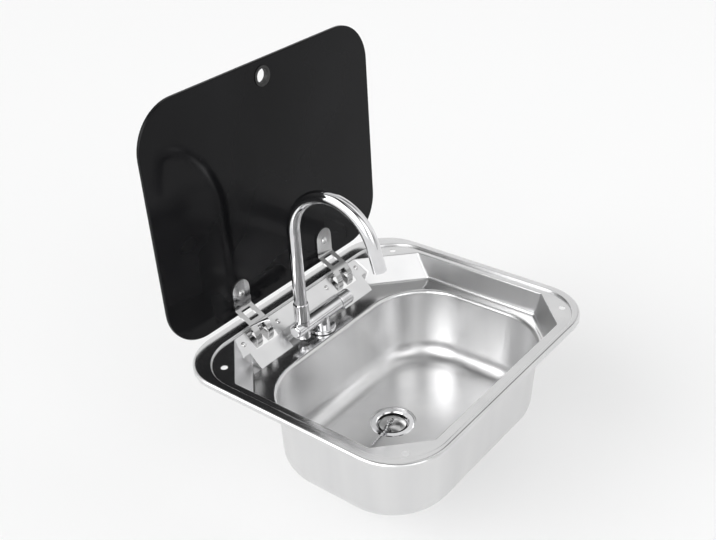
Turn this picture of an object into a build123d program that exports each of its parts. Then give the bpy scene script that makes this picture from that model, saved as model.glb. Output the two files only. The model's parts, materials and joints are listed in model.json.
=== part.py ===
from build123d import *
from math import atan2, cos, degrees, radians, sin, sqrt, tan
import os

# Drop-in sink for a camper van: pressed steel tray with a folding tap and a hinged glass lid.
# Frame: millimetres, +X to the user's right, +Y to the hinge side, +Z up.
# The origin is the centre of the tray's outline, level with the top of its rim.
# The lid stands open and the tap stands up.

os.makedirs("parts", exist_ok=True)

# ---------------------------------------------------------------- driving dimensions
# Rim of the pressed tray
TRAY_WIDTH = 420.0
TRAY_DEPTH = 370.0
TRAY_CORNER_R = 70.0
SHEET = 1.0
RIM_SKIRT = 7.0
RIM_EDGE_R = 3.5

# Shallow step inside the rim, which leaves a ledge in each corner
STEP_SIDE_MARGIN = 12.0
STEP_FRONT_MARGIN = 8.0
STEP_REAR_MARGIN = 25.0
STEP_CORNER_R = 64.0
STEP_DROP = 3.0
STEP_EDGE_R = 1.8
STEP_FOOT_R = 1.0

# Recess with its four slanted corners, set in from the tray's outline
RECESS_DEPTH = 38.5
RECESS_SIDE_MARGIN = 22.0
RECESS_FRONT_MARGIN = 21.0
RECESS_SIDE_LEAN = 4.0
RECESS_FRONT_LEAN = 2.5
FRONT_CORNER_CUT = 52.0
FRONT_CORNER_CUT_FLOOR = 57.5
REAR_CORNER_CUT = 66.0
REAR_CORNER_CUT_FLOOR = 68.5
RECESS_WALL_R = 5.0
RECESS_LIP_R = 1.5
SLOPE_SETBACK = 2.0
SLOPE_RUN = 37.0
BAY_SETBACK = 18.5
BAY_FROM_HINGE = 28.0
BLOCK_END_R = 9.0

# Bowl, set in from the foot of the recess
BOWL_SIDE_SHELF = 16.0
BOWL_FRONT_SHELF = 7.5
BOWL_REAR_SHELF = 29.0
BOWL_CORNER_R = 82.0
BOWL_DEPTH = 148.0
BOWL_TAPER_SIDE = 1.0
BOWL_TAPER_FRONT = 10.0
BOWL_TAPER_REAR = 1.5
BOWL_FLOOR_R = 28.0
BOWL_LIP_R = 5.0

# Screw holes in the corner ledges
FIX_HOLE_FROM_SIDE = 37.0
FIX_HOLE_FROM_REAR = 59.5
FIX_HOLE_FROM_FRONT = 34.0
FIX_HOLE_R = 4.5

# Waste outlet
DRAIN_Y = 3.0
DRAIN_FLANGE_R = 30.0
DRAIN_RECESS_GAP = 2.0
DRAIN_RECESS_DROP = 2.6
DRAIN_FLANGE_T = 1.5
DRAIN_CUP_R = 21.5
DRAIN_CUP_DEPTH = 13.0
DRAIN_SHELF_DEPTH = 5.0
DRAIN_THROAT_R = 17.0
DRAIN_WALL = 1.2
DRAIN_HOLE_GAP = 0.3
STRAINER_HOLE_R = 2.6
STRAINER_PITCH_R = 12.5
STRAINER_HOLES = 6
DRAIN_SCREW_R = 3.0
DRAIN_SCREW_HEAD_R = 6.0
DRAIN_SCREW_HEAD = 2.4
GASKET_T = 2.0
GASKET_R = 29.0
DRAIN_BODY_GAP = 0.5
DRAIN_BODY_WALL = 2.5
DRAIN_BODY_RIM = 5.0
DRAIN_BODY_FLOOR = 15.0
DRAIN_BODY_HEIGHT = 24.0
DRAIN_BOSS_R = 5.0
DRAIN_BOSS_DEPTH = 9.0
DRAIN_RIB_T = 2.5
DRAIN_SCREW_DEPTH = 7.0
DRAIN_SCREW_SLOT = 1.4
DRAIN_NECK_R = 15.5
DRAIN_NECK_LENGTH = 9.0
DRAIN_NECK_BORE_R = 11.0
TAIL_R = 12.5
TAIL_BORE_R = 10.0
TAIL_LENGTH = 38.0
TAIL_FLANGE_R = 15.0
TAIL_FLANGE_T = 2.0
TAIL_BARBS = 4
TAIL_BARB_OVER = 0.7
TAIL_BARB_PITCH = 5.0
TAIL_NUT_R = 19.0
TAIL_NUT_HEIGHT = 13.0
TAIL_NUT_GRIPS = 16
TAIL_NUT_GRIP_R = 1.0

# Plug with its eye, ring and bead chain
PLUG_R = 18.5
PLUG_DOME = 5.0
PLUG_RIM = 1.6
PLUG_SEAL_T = 2.5
PLUG_SEAL_OVER = 1.3
PLUG_SEAT_GAP = 0.1
PLUG_EYE_R = 2.6
PLUG_EYE_T = 1.8
PLUG_EYE_HOLE_R = 1.2
PLUG_RING_R = 4.2
PLUG_RING_WIRE_R = 0.55
BEAD_R = 1.6
BEAD_WIRE_R = 0.5
BEAD_PITCH = 4.1
BEADS = 11
CHAIN_LIFT = 0.3
CHAIN_LOOP_R = 1.3
CHAIN_LOOP_WIRE_R = 0.4
CHAIN_FIRST_X = -12.5
CHAIN_END_Y = -5.0
PLUG_EYE_HEIGHT = 4.6

# Glass lid
GLASS_SIDE_MARGIN = 8.0
GLASS_DEPTH_MARGIN = 49.5
GLASS_T = 5.5
GLASS_CORNER_R = 59.0
GLASS_BEVEL = 0.8
LID_SETBACK = 5.5
LID_FOOT = 8.5
FINGER_HOLE_R = 11.5
FINGER_HOLE_DROP = 21.0
GROMMET_BORE_R = 9.0
GROMMET_LIP_R = 13.0
GROMMET_LIP_T = 1.2

# Lid hinges
HINGE_FROM_BLOCK_END = 32.5
PIVOT_SETBACK = 20.0
HINGE_PIVOT_Z = -14.0
STRAP_WIDTH = 30.0
STRAP_T = 2.0
STRAP_ARC_R = 23.0
STRAP_DIP = 28.0
STRAP_WRAP = 88.0
STRAP_TAB_TOP = 59.5
STRAP_BEND_R = 3.0
STRAP_WINDOW = 15.0
STRAP_WINDOW_END = 4.0
STRAP_LEG = 9.0
HINGE_PIN_R = 2.5
PIN_CLEARANCE = 0.05
EYE_WALL = 2.2
SCREW_Z = 40.0
SCREW_R = 2.5
SCREW_HEAD_R = 5.2
SCREW_HEAD_T = 2.2
PAD_T = 0.8
BUSH_WALL = 1.6
CAP_NUT_R = 9.0
CAP_NUT_T = 3.2
SLOT_WIDTH = 41.0
SLOT_FOOT_Z = -21.7
SLOT_HEAD_Z = -3.9
CHEEK_T = 1.5
CHEEK_GAP = 1.0
CHEEK_REACH = 7.0
WEB_DROP = 1.3
RIVET_SPREAD = 32.5
RIVET_R = 2.0
RIVET_HEAD_R = 3.6
RIVET_HEAD_T = 1.5
RIVET_ALONG = 12.0
FOOT_OVERHANG = 6.0
FOOT_LENGTH = 14.0

LEG_SPLIT_ANGLE = 134.0
PIN_HEAD_T = 1.0
BUSH_END_GAP = 0.15
RIVET_HEAD_TAPER = 40.0
SCREW_HEAD_TAPER = 35.0
SCREW_SLOT = 1.0
PAD_FOOT_Z = 24.0

# Folding tap
TAP_AHEAD = 4.0
TAP_AXIS_Z = -16.0
BARREL_R = 10.0
BARREL_LEFT = -25.5
BARREL_RIGHT = 35.0
JOINT_GAP = 0.4
SPIGOT_R = 6.5
SPIGOT_LENGTH = 14.0
ORING_T = 1.0
COLUMN_R = 11.0
BASE_R = 19.0
BASE_T = 4.5
BASE_GASKET_R = 17.0
BASE_GASKET_T = 1.2
SHANK_R = 10.0
SHANK_BORE_R = 6.5
SHANK_LENGTH = 46.0
SHANK_HOLE_GAP = 0.8
BACK_WASHER_R = 17.0
BACK_WASHER_T = 2.5
BACK_NUT_AF = 30.0
BACK_NUT_T = 8.0
SPOUT_X = -37.0
ELBOW_R = 9.5
ELBOW_BELOW = 17.0
ELBOW_ABOVE = 11.0
ELBOW_HUB_R = 10.0
ELBOW_HUB_END = 14.5
ELBOW_CHAMFER = 3.0
END_CAP_R = 8.5
END_CAP_T = 2.5
COLLAR_R = 10.2
COLLAR_LENGTH = 26.0
SPOUT_R = 8.5
SPOUT_WALL = 1.2
SPOUT_ARCH_R = 65.0
SPOUT_ARCH_Z = 126.0
SPOUT_ARCH_TURN = 165.0
SPOUT_END = 30.0
SPOUT_SOCKET = 12.0
KNOB_R = 11.0
KNOB_LENGTH = 24.0
KNOB_DOME_R = 5.0
KNOB_GRIPS = 12
KNOB_GRIP_R = 1.2
SPINDLE_R = 4.0
CARTRIDGE_R = 7.0
CARTRIDGE_LENGTH = 22.0
KNOB_CAP_R = 5.0
KNOB_CAP_T = 1.4
KNOB_CAP_OUT = 0.6
KNOB_FOOT_R = 0.8
KNOB_GRIP_START = 3.0
KNOB_GRIP_OUT = 0.4
KNOB_GRIP_LENGTH = 14.0
SPINDLE_SOCKET = 12.0
SPINDLE_BITE = 14.0
CARTRIDGE_INSET = 0.6
CARTRIDGE_PORT_R = 2.5
WATERWAY_R = 4.5
SPIGOT_CLEARANCE = 0.05
BARREL_CHAMFER = 0.6
BASE_EDGE_R = 1.5
SHANK_CHAMFER = 1.2
SHANK_NECK_R = 8.5
SHANK_NECK_LENGTH = 6.0
SHANK_RELIEF = 1.5
SHANK_RELIEF_DEPTH = 0.8
ORING_FIRST = 0.35
ORING_SECOND = 0.65
ELBOW_SOCKET_Z = -15.5
COLLAR_CHAMFER = 0.8
CAP_LAND = 0.4

# ---------------------------------------------------------------- sizes worked out from them
HALF_WIDTH = TRAY_WIDTH / 2
HALF_DEPTH = TRAY_DEPTH / 2
STEP_FLOOR_Z = -STEP_DROP
DECK_Z = -RECESS_DEPTH
FLOOR_Z = -BOWL_DEPTH
STEP_REAR_Y = HALF_DEPTH - STEP_REAR_MARGIN
SLOPE_TOP_Y = STEP_REAR_Y - SLOPE_SETBACK
SLOPE_FRONT = SLOPE_TOP_Y - SLOPE_RUN
SLOPE_RISE = STEP_FLOOR_Z - DECK_Z
BAY_REAR = SLOPE_FRONT + BAY_SETBACK
RECESS_HALF_TOP = HALF_WIDTH - RECESS_SIDE_MARGIN
RECESS_HALF_FLOOR = RECESS_HALF_TOP - RECESS_SIDE_LEAN
RECESS_FRONT_TOP = HALF_DEPTH - RECESS_FRONT_MARGIN
RECESS_FRONT_FLOOR = RECESS_FRONT_TOP - RECESS_FRONT_LEAN
RECESS_CORNER_FRONT_TOP = RECESS_HALF_TOP + RECESS_FRONT_TOP - FRONT_CORNER_CUT
RECESS_CORNER_FRONT_FLOOR = RECESS_HALF_FLOOR + RECESS_FRONT_FLOOR - FRONT_CORNER_CUT_FLOOR
RECESS_CORNER_REAR_TOP = RECESS_HALF_TOP + SLOPE_TOP_Y - REAR_CORNER_CUT
RECESS_CORNER_REAR_FLOOR = RECESS_HALF_FLOOR + BAY_REAR - REAR_CORNER_CUT_FLOOR
BLOCK_END_X = RECESS_CORNER_REAR_FLOOR - BAY_REAR
HINGE_X = BLOCK_END_X - HINGE_FROM_BLOCK_END
BAY_HALF = HINGE_X - BAY_FROM_HINGE
BOWL_HALF = RECESS_HALF_FLOOR - BOWL_SIDE_SHELF
BOWL_FRONT = RECESS_FRONT_FLOOR - BOWL_FRONT_SHELF
BOWL_REAR = SLOPE_FRONT - BOWL_REAR_SHELF
FIX_HOLE_X = HALF_WIDTH - FIX_HOLE_FROM_SIDE
FIX_HOLE_REAR = HALF_DEPTH - FIX_HOLE_FROM_REAR
FIX_HOLE_FRONT = HALF_DEPTH - FIX_HOLE_FROM_FRONT
HINGE_PIVOT_Y = HALF_DEPTH - PIVOT_SETBACK
LID_INNER_Y = HALF_DEPTH - LID_SETBACK
GLASS_WIDTH = TRAY_WIDTH - 2 * GLASS_SIDE_MARGIN
GLASS_HEIGHT = TRAY_DEPTH - GLASS_DEPTH_MARGIN
TAP_Y = SLOPE_FRONT - TAP_AHEAD
SLOPE_ANGLE = degrees(atan2(SLOPE_RISE, SLOPE_RUN))
BAY_TOP_Z = DECK_Z + (BAY_REAR - SLOPE_FRONT) * SLOPE_RISE / SLOPE_RUN
DRAIN_SEAT_Z = FLOOR_Z - DRAIN_RECESS_DROP
CUT_MARGIN = 5.0


def slope_z(y):
    """Height of the slanted rear wall at y."""
    return DECK_Z + (y - SLOPE_FRONT) * SLOPE_RISE / SLOPE_RUN


def slope_y(z):
    """Distance back of the slanted rear wall at height z."""
    return SLOPE_FRONT + (z - DECK_Z) * SLOPE_RUN / SLOPE_RISE


def write(name, block):
    """Label one finished piece and save it under its own name."""
    block.part.label = name
    export_step(block.part, f"parts/{name}.step")


def rounded_outline(left, right, front, rear, corner_r):
    """Add a rectangle with round corners, given by its four sides, to the sketch being drawn."""
    with Locations(((left + right) / 2, (front + rear) / 2)):
        RectangleRounded(right - left, rear - front, corner_r)


# ---------------------------------------------------------------- pressed tray
def octagon(height, grow):
    """Corner points of the recess at a height, set outwards by grow."""
    share = (height - DECK_Z) / (STEP_FLOOR_Z - DECK_Z)
    half = RECESS_HALF_FLOOR + share * (RECESS_HALF_TOP - RECESS_HALF_FLOOR) + grow
    front = RECESS_FRONT_FLOOR + share * (RECESS_FRONT_TOP - RECESS_FRONT_FLOOR) + grow
    slant = grow * sqrt(2)
    cut_front = RECESS_CORNER_FRONT_FLOOR
    cut_front += share * (RECESS_CORNER_FRONT_TOP - RECESS_CORNER_FRONT_FLOOR) + slant
    cut_rear = RECESS_CORNER_REAR_FLOOR
    cut_rear += share * (RECESS_CORNER_REAR_TOP - RECESS_CORNER_REAR_FLOOR) + slant
    rear = max(BAY_REAR, slope_y(height)) + grow
    right_side = [
        (cut_rear - rear, rear),
        (half, cut_rear - half),
        (half, half - cut_front),
        (cut_front - front, -front),
    ]
    left_side = [(-x, y) for x, y in reversed(right_side)]
    return right_side + left_side


def recess_slab(low, high, grow):
    """Solid between two heights of the recess."""
    with BuildPart() as slab:
        for height in (low, high):
            with BuildSketch(Plane.XY.offset(height)):
                with BuildLine():
                    Polyline(*octagon(height, grow), close=True)
                make_face()
        loft(ruled=True)
    return slab.part


def hinge_block(side, shrink):
    """Slanted block in front of the rear wall, which carries one hinge slot."""
    inner = BAY_HALF + shrink
    outer = BLOCK_END_X - shrink
    slant = shrink / cos(radians(SLOPE_ANGLE))
    foot = DECK_Z - CUT_MARGIN
    foot_y = slope_y(foot + slant)
    rear = BAY_REAR + CUT_MARGIN
    with BuildPart() as block:
        with BuildSketch(Plane.YZ.offset(min(side * inner, side * outer))):
            with BuildLine():
                Polyline((foot_y, foot), (rear, slope_z(rear) - slant), (rear, foot), close=True)
            make_face()
        extrude(amount=outer - inner)
        end_x = side * outer
        corner = block.edges().filter_by(lambda e: abs(e.center().X - end_x) < 0.01)
        corner = corner.sort_by(Axis.Y)[0]
        fillet(corner, BLOCK_END_R - shrink)
    return block.part


def bowl_form(grow):
    """Space of the bowl, set outwards by grow."""
    rear, front = BOWL_REAR + grow, -BOWL_FRONT - grow
    half = BOWL_HALF + grow
    with BuildPart() as bowl:
        with BuildSketch(Plane.XY.offset(DECK_Z + grow)):
            rounded_outline(-half, half, front, rear, BOWL_CORNER_R + grow)
        with BuildSketch(Plane.XY.offset(FLOOR_Z - grow)):
            rounded_outline(
                -half + BOWL_TAPER_SIDE,
                half - BOWL_TAPER_SIDE,
                front + BOWL_TAPER_FRONT,
                rear - BOWL_TAPER_REAR,
                BOWL_CORNER_R + grow,
            )
        loft(ruled=True)
        fillet(bowl.faces().sort_by(Axis.Z)[0].edges(), BOWL_FLOOR_R + grow)
    return bowl.part


def on_bowl_lip(edge, height):
    """True for an edge of the bowl's mouth, where its wall leaves the deck."""
    spot = edge.center()
    level = abs(edge.bounding_box().min.Z - height) + abs(edge.bounding_box().max.Z - height) < 0.01
    inside_y = -BOWL_FRONT - 2 * SHEET < spot.Y < BOWL_REAR + 2 * SHEET
    inside_x = abs(spot.X) < BOWL_HALF + 2 * SHEET
    inside_slants = abs(spot.X) + abs(spot.Y) < RECESS_CORNER_FRONT_FLOOR - 2 * SHEET
    return level and inside_x and inside_y and inside_slants


def basin_form(grow):
    """Everything that the tray's skin encloses, set outwards by grow."""
    step_half = HALF_WIDTH - STEP_SIDE_MARGIN + grow
    step_front = -HALF_DEPTH + STEP_FRONT_MARGIN - grow
    lower_recess = recess_slab(DECK_Z - grow, BAY_TOP_Z, grow)
    upper_recess = recess_slab(BAY_TOP_Z, STEP_FLOOR_Z, grow)
    blocks = [hinge_block(side, grow) for side in (-1, 1)]
    bowl = bowl_form(grow)
    with BuildPart() as basin:
        add(lower_recess)
        add(upper_recess)
        corners = basin.edges().filter_by(lambda e: e.bounding_box().size.Z > SHEET)
        feet = basin.edges().filter_by(lambda e: e.bounding_box().max.Z < DECK_Z - grow + SHEET / 2)
        fillet(corners + feet, RECESS_WALL_R + grow)
        add(blocks, mode=Mode.SUBTRACT)
        add(bowl)
        fillet(basin.edges().filter_by(lambda e: on_bowl_lip(e, DECK_Z - grow)), BOWL_LIP_R - grow)
        with BuildSketch(Plane.XY.offset(STEP_FLOOR_Z - grow)):
            rounded_outline(-step_half, step_half, step_front, STEP_REAR_Y + grow, STEP_CORNER_R + grow)
        extrude(amount=STEP_DROP + grow)
        with BuildSketch(Plane.XY.offset(DRAIN_SEAT_Z - grow)):
            with Locations((0, DRAIN_Y)):
                Circle(DRAIN_FLANGE_R + DRAIN_RECESS_GAP + grow)
        extrude(amount=DRAIN_RECESS_DROP + grow)
    return basin.part


def rim_form(inset, drop, edge_r):
    """Block under the rim, inset from the tray's outline, from drop down to the skirt's foot."""
    half_x = HALF_WIDTH - inset
    half_y = HALF_DEPTH - inset
    with BuildPart() as rim:
        with BuildSketch(Plane.XY.offset(-RIM_SKIRT)):
            rounded_outline(-half_x, half_x, -half_y, half_y, TRAY_CORNER_R - inset)
        extrude(amount=RIM_SKIRT - drop)
        fillet(rim.faces().sort_by(Axis.Z)[-1].edges(), edge_r)
    return rim.part


rim_outside = rim_form(0, 0, RIM_EDGE_R)
rim_inside = rim_form(SHEET, SHEET, RIM_EDGE_R - SHEET)
basin_outside = basin_form(SHEET)
basin_inside = basin_form(0)


def slope_spot(along, lift):
    """Point of the side view, along the slanted wall from its top edge and lifted off its face."""
    angle = radians(SLOPE_ANGLE)
    y = SLOPE_TOP_Y - along * cos(angle) - lift * sin(angle)
    z = STEP_FLOOR_Z - along * sin(angle) + lift * cos(angle)
    return (y, z)


def along_slope(z):
    """Length along the slanted wall from its top edge down to height z."""
    return (STEP_FLOOR_Z - z) / sin(radians(SLOPE_ANGLE))


with BuildPart() as sink_tray:
    add(rim_outside)
    add(rim_inside, mode=Mode.SUBTRACT)
    add(basin_outside)
    add(basin_inside, mode=Mode.SUBTRACT)
    # soft edges along the step and round the recess
    rim_face = sink_tray.faces().filter_by(Axis.Z).sort_by(Axis.Z)[-1]
    fillet(rim_face.inner_wires()[0].edges(), STEP_EDGE_R)
    ledges = sink_tray.faces().filter_by(Axis.Z)
    ledges = ledges.filter_by(lambda f: abs(f.center().Z - STEP_FLOOR_Z) < 0.01)
    ledge = ledges.sort_by(SortBy.AREA)[-1]
    fillet(ledge.outer_wire().edges(), STEP_FOOT_R)
    ledges = sink_tray.faces().filter_by(Axis.Z)
    ledges = ledges.filter_by(lambda f: abs(f.center().Z - STEP_FLOOR_Z) < 0.01)
    ledge = ledges.sort_by(SortBy.AREA)[-1]
    fillet(ledge.inner_wires()[0].edges(), RECESS_LIP_R)
    # hinge slots in the slanted rear wall
    head, foot = along_slope(SLOT_HEAD_Z), along_slope(SLOT_FOOT_Z)
    for side in (-1, 1):
        with BuildSketch(Plane.YZ.offset(side * HINGE_X - SLOT_WIDTH / 2)):
            with BuildLine():
                Polyline(
                    slope_spot(head, CUT_MARGIN),
                    slope_spot(foot, CUT_MARGIN),
                    slope_spot(foot, -CUT_MARGIN),
                    slope_spot(head, -CUT_MARGIN),
                    close=True,
                )
            make_face()
        extrude(amount=SLOT_WIDTH, mode=Mode.SUBTRACT)
    # rivet holes beside the slots
    for side in (-1, 1):
        for end in (-1, 1):
            spot_y, spot_z = slope_spot(RIVET_ALONG, -SHEET / 2)
            rivet_x = side * HINGE_X + end * RIVET_SPREAD
            with Locations(Location((rivet_x, spot_y, spot_z), (SLOPE_ANGLE, 0, 0))):
                Cylinder(RIVET_R, 3 * SHEET, mode=Mode.SUBTRACT)
    # fixing holes in the corner ledges
    fix_y = (FIX_HOLE_REAR - FIX_HOLE_FRONT) / 2
    with Locations((0, fix_y, STEP_FLOOR_Z)):
        with GridLocations(2 * FIX_HOLE_X, FIX_HOLE_REAR + FIX_HOLE_FRONT, 2, 2):
            Cylinder(FIX_HOLE_R, 4 * SHEET, mode=Mode.SUBTRACT)
    # holes for the tap's shank and for the waste
    with Locations((0, TAP_Y, DECK_Z)):
        Cylinder(SHANK_R + SHANK_HOLE_GAP, 4 * SHEET, mode=Mode.SUBTRACT)
    with Locations((0, DRAIN_Y, DRAIN_SEAT_Z)):
        Cylinder(DRAIN_CUP_R + DRAIN_WALL + DRAIN_HOLE_GAP, 4 * SHEET, mode=Mode.SUBTRACT)
write("sink_tray", sink_tray)

# ---------------------------------------------------------------- lid hinges
PIVOT = (HINGE_PIVOT_Y, HINGE_PIVOT_Z)
TAB_FRONT_Y = LID_INNER_Y - PAD_T - STRAP_T
TAB_MID_Y = LID_INNER_Y - PAD_T - STRAP_T / 2
ARC_START = 90.0 + STRAP_DIP
ARC_END = ARC_START + STRAP_WRAP
EYE_BORE_R = HINGE_PIN_R + PIN_CLEARANCE
EYE_R = EYE_BORE_R + EYE_WALL
CHEEK_IN = SLOT_WIDTH / 2 + CHEEK_GAP
CHEEK_OUT = CHEEK_IN + CHEEK_T


def round_pivot(radius, angle):
    """Point of the side view at a radius and an angle round the hinge pin."""
    return (
        HINGE_PIVOT_Y + radius * cos(radians(angle)),
        HINGE_PIVOT_Z + radius * sin(radians(angle)),
    )


def make_strap(side):
    """Gooseneck strap: round tab on the glass, open neck, hooked legs with eyes on the pin."""
    centre_x = side * HINGE_X
    left = centre_x - STRAP_WIDTH / 2
    arc_y, arc_z = round_pivot(STRAP_ARC_R, ARC_START)
    bend_z = arc_z + (TAB_MID_Y - arc_y) * tan(radians(STRAP_DIP))
    neck_length = (TAB_MID_Y - arc_y) / cos(radians(STRAP_DIP))
    tab_r = STRAP_WIDTH / 2
    tab_centre_z = STRAP_TAB_TOP - tab_r
    hook = round_pivot(STRAP_ARC_R, ARC_END)
    with BuildPart() as strap:
        # tab, neck and hook as one bent strip
        with BuildSketch(Plane.YZ.offset(left)):
            with BuildLine():
                neck = FilletPolyline(
                    (TAB_MID_Y, tab_centre_z), (TAB_MID_Y, bend_z), (arc_y, arc_z), radius=STRAP_BEND_R
                )
                CenterArc(PIVOT, STRAP_ARC_R, ARC_START, STRAP_WRAP)
            trace(line_width=STRAP_T)
            with Locations(hook):
                Circle(STRAP_T / 2)
            with BuildLine():
                Line(hook, PIVOT)
            trace(line_width=STRAP_T)
            with Locations(PIVOT):
                Circle(EYE_R)
        extrude(amount=STRAP_WIDTH)
        with BuildSketch(Plane.XZ.offset(-TAB_FRONT_Y)):
            with Locations((centre_x, tab_centre_z)):
                Circle(tab_r)
        extrude(amount=-STRAP_T)
        # open neck
        with BuildSketch(Plane.YZ.offset(centre_x - STRAP_WINDOW / 2)):
            with Locations(((TAB_MID_Y + arc_y) / 2, (bend_z + arc_z) / 2)):
                Rectangle(neck_length - 2 * STRAP_WINDOW_END, 4 * STRAP_T, rotation=STRAP_DIP)
        extrude(amount=STRAP_WINDOW, mode=Mode.SUBTRACT)
        # gap between the two legs
        leg_gap = STRAP_WIDTH - 2 * STRAP_LEG
        with BuildSketch(Plane.YZ.offset(centre_x - leg_gap / 2)):
            with BuildLine():
                Polyline(
                    round_pivot(2 * STRAP_ARC_R, LEG_SPLIT_ANGLE),
                    round_pivot(0, 0),
                    (HINGE_PIVOT_Y + EYE_R + STRAP_T, HINGE_PIVOT_Z + 2 * EYE_R),
                    (HINGE_PIVOT_Y + EYE_R + STRAP_T, HINGE_PIVOT_Z - 2 * STRAP_ARC_R),
                    (HINGE_PIVOT_Y - 2 * STRAP_ARC_R, HINGE_PIVOT_Z - 2 * STRAP_ARC_R),
                    close=True,
                )
            make_face()
            with Locations(PIVOT):
                Circle(EYE_R + STRAP_T)
        extrude(amount=leg_gap, mode=Mode.SUBTRACT)
        # bore of the eyes and hole for the lid screw
        with Locations(Location((centre_x, HINGE_PIVOT_Y, HINGE_PIVOT_Z), (0, 90, 0))):
            Cylinder(EYE_BORE_R, 2 * STRAP_WIDTH, mode=Mode.SUBTRACT)
        with Locations(Location((centre_x, TAB_MID_Y, SCREW_Z), (90, 0, 0))):
            Cylinder(SCREW_R, 2 * STRAP_T, mode=Mode.SUBTRACT)
    return strap


def make_bracket(side):
    """Bracket behind one slot: two cheeks on riveted feet, joined by a web under the rim."""
    centre_x = side * HINGE_X
    foot_top = RIVET_ALONG - FOOT_LENGTH / 2
    foot_end = RIVET_ALONG + FOOT_LENGTH / 2
    web_top = -SHEET - WEB_DROP
    web_front = STEP_REAR_Y + 3 * SHEET
    web_rear = HINGE_PIVOT_Y + CHEEK_REACH
    with BuildPart() as bracket:
        for end in (-1, 1):
            cheek_start = centre_x + (CHEEK_IN if end > 0 else -CHEEK_OUT)
            with BuildSketch(Plane.YZ.offset(cheek_start)):
                with Locations(PIVOT):
                    Circle(CHEEK_REACH)
                with BuildLine():
                    Polyline(
                        (web_front, STEP_FLOOR_Z - 3 * SHEET),
                        (web_front, web_top),
                        (web_rear, web_top),
                        (web_rear, HINGE_PIVOT_Z),
                        (HINGE_PIVOT_Y, HINGE_PIVOT_Z - CHEEK_REACH),
                        slope_spot(foot_end, -SHEET),
                        slope_spot(foot_top, -SHEET),
                        close=True,
                    )
                make_face()
            extrude(amount=CHEEK_T)
            foot_start = centre_x + (CHEEK_IN if end > 0 else -RIVET_SPREAD - FOOT_OVERHANG)
            with BuildSketch(Plane.YZ.offset(foot_start)):
                with BuildLine():
                    Polyline(
                        slope_spot(foot_top, -SHEET),
                        slope_spot(foot_end, -SHEET),
                        slope_spot(foot_end, -SHEET - CHEEK_T),
                        slope_spot(foot_top, -SHEET - CHEEK_T),
                        close=True,
                    )
                make_face()
            extrude(amount=RIVET_SPREAD + FOOT_OVERHANG - CHEEK_IN)
            spot_y, spot_z = slope_spot(RIVET_ALONG, -SHEET - CHEEK_T / 2)
            rivet_x = centre_x + end * RIVET_SPREAD
            with Locations(Location((rivet_x, spot_y, spot_z), (SLOPE_ANGLE, 0, 0))):
                Cylinder(RIVET_R, 3 * CHEEK_T, mode=Mode.SUBTRACT)
        with BuildSketch(Plane.YZ.offset(centre_x - CHEEK_OUT)):
            with Locations(((web_front + web_rear) / 2, web_top - CHEEK_T / 2)):
                Rectangle(web_rear - web_front, CHEEK_T)
        extrude(amount=2 * CHEEK_OUT)
        with Locations(Location((centre_x, HINGE_PIVOT_Y, HINGE_PIVOT_Z), (0, 90, 0))):
            Cylinder(HINGE_PIN_R, 4 * CHEEK_OUT, mode=Mode.SUBTRACT)
    return bracket


def make_pin(side):
    """Hinge pin, peened over outside the cheeks."""
    centre_x = side * HINGE_X
    with BuildPart() as pin:
        with Locations(Location((centre_x, HINGE_PIVOT_Y, HINGE_PIVOT_Z), (0, 90, 0))):
            Cylinder(HINGE_PIN_R, 2 * CHEEK_OUT)
        for end in (-1, 1):
            head_x = centre_x + end * (CHEEK_OUT + PIN_HEAD_T / 2)
            with Locations(Location((head_x, HINGE_PIVOT_Y, HINGE_PIVOT_Z), (0, 90, 0))):
                Cylinder(HINGE_PIN_R + PIN_HEAD_T, PIN_HEAD_T)
    return pin


for side, hand in ((-1, "left"), (1, "right")):
    write(f"hinge_strap_{hand}", make_strap(side))
    write(f"hinge_bracket_{hand}", make_bracket(side))
    write(f"hinge_pin_{hand}", make_pin(side))

bush_length = CHEEK_IN - STRAP_WIDTH / 2 - 2 * BUSH_END_GAP
with BuildPart() as hinge_bushes:
    for side in (-1, 1):
        for end in (-1, 1):
            middle = side * HINGE_X + end * (CHEEK_IN + STRAP_WIDTH / 2) / 2
            with BuildSketch(Plane.YZ.offset(middle - bush_length / 2)):
                with Locations(PIVOT):
                    Circle(EYE_R)
                    Circle(HINGE_PIN_R, mode=Mode.SUBTRACT)
            extrude(amount=bush_length)
write("hinge_bushes", hinge_bushes)

with BuildPart() as hinge_rivets:
    rivet_grip = SHEET + CHEEK_T
    for side in (-1, 1):
        for end in (-1, 1):
            spot_y, spot_z = slope_spot(RIVET_ALONG, 0)
            rivet_x = side * HINGE_X + end * RIVET_SPREAD
            seat = Plane(
                origin=(rivet_x, spot_y, spot_z), x_dir=(1, 0, 0),
                z_dir=(0, -sin(radians(SLOPE_ANGLE)), cos(radians(SLOPE_ANGLE))),
            )
            with BuildSketch(seat.offset(-rivet_grip)):
                Circle(RIVET_R)
            extrude(amount=rivet_grip)
            with BuildSketch(seat):
                Circle(RIVET_HEAD_R)
            extrude(amount=RIVET_HEAD_T, taper=RIVET_HEAD_TAPER)
            with BuildSketch(seat.offset(-rivet_grip)):
                Circle(RIVET_HEAD_R)
            extrude(amount=-RIVET_HEAD_T / 2)
write("hinge_rivets", hinge_rivets)

# ---------------------------------------------------------------- glass lid
GLASS_TOP_Z = LID_FOOT + GLASS_HEIGHT
FINGER_Z = GLASS_TOP_Z - FINGER_HOLE_DROP
BUSH_R = SCREW_R + BUSH_WALL

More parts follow.
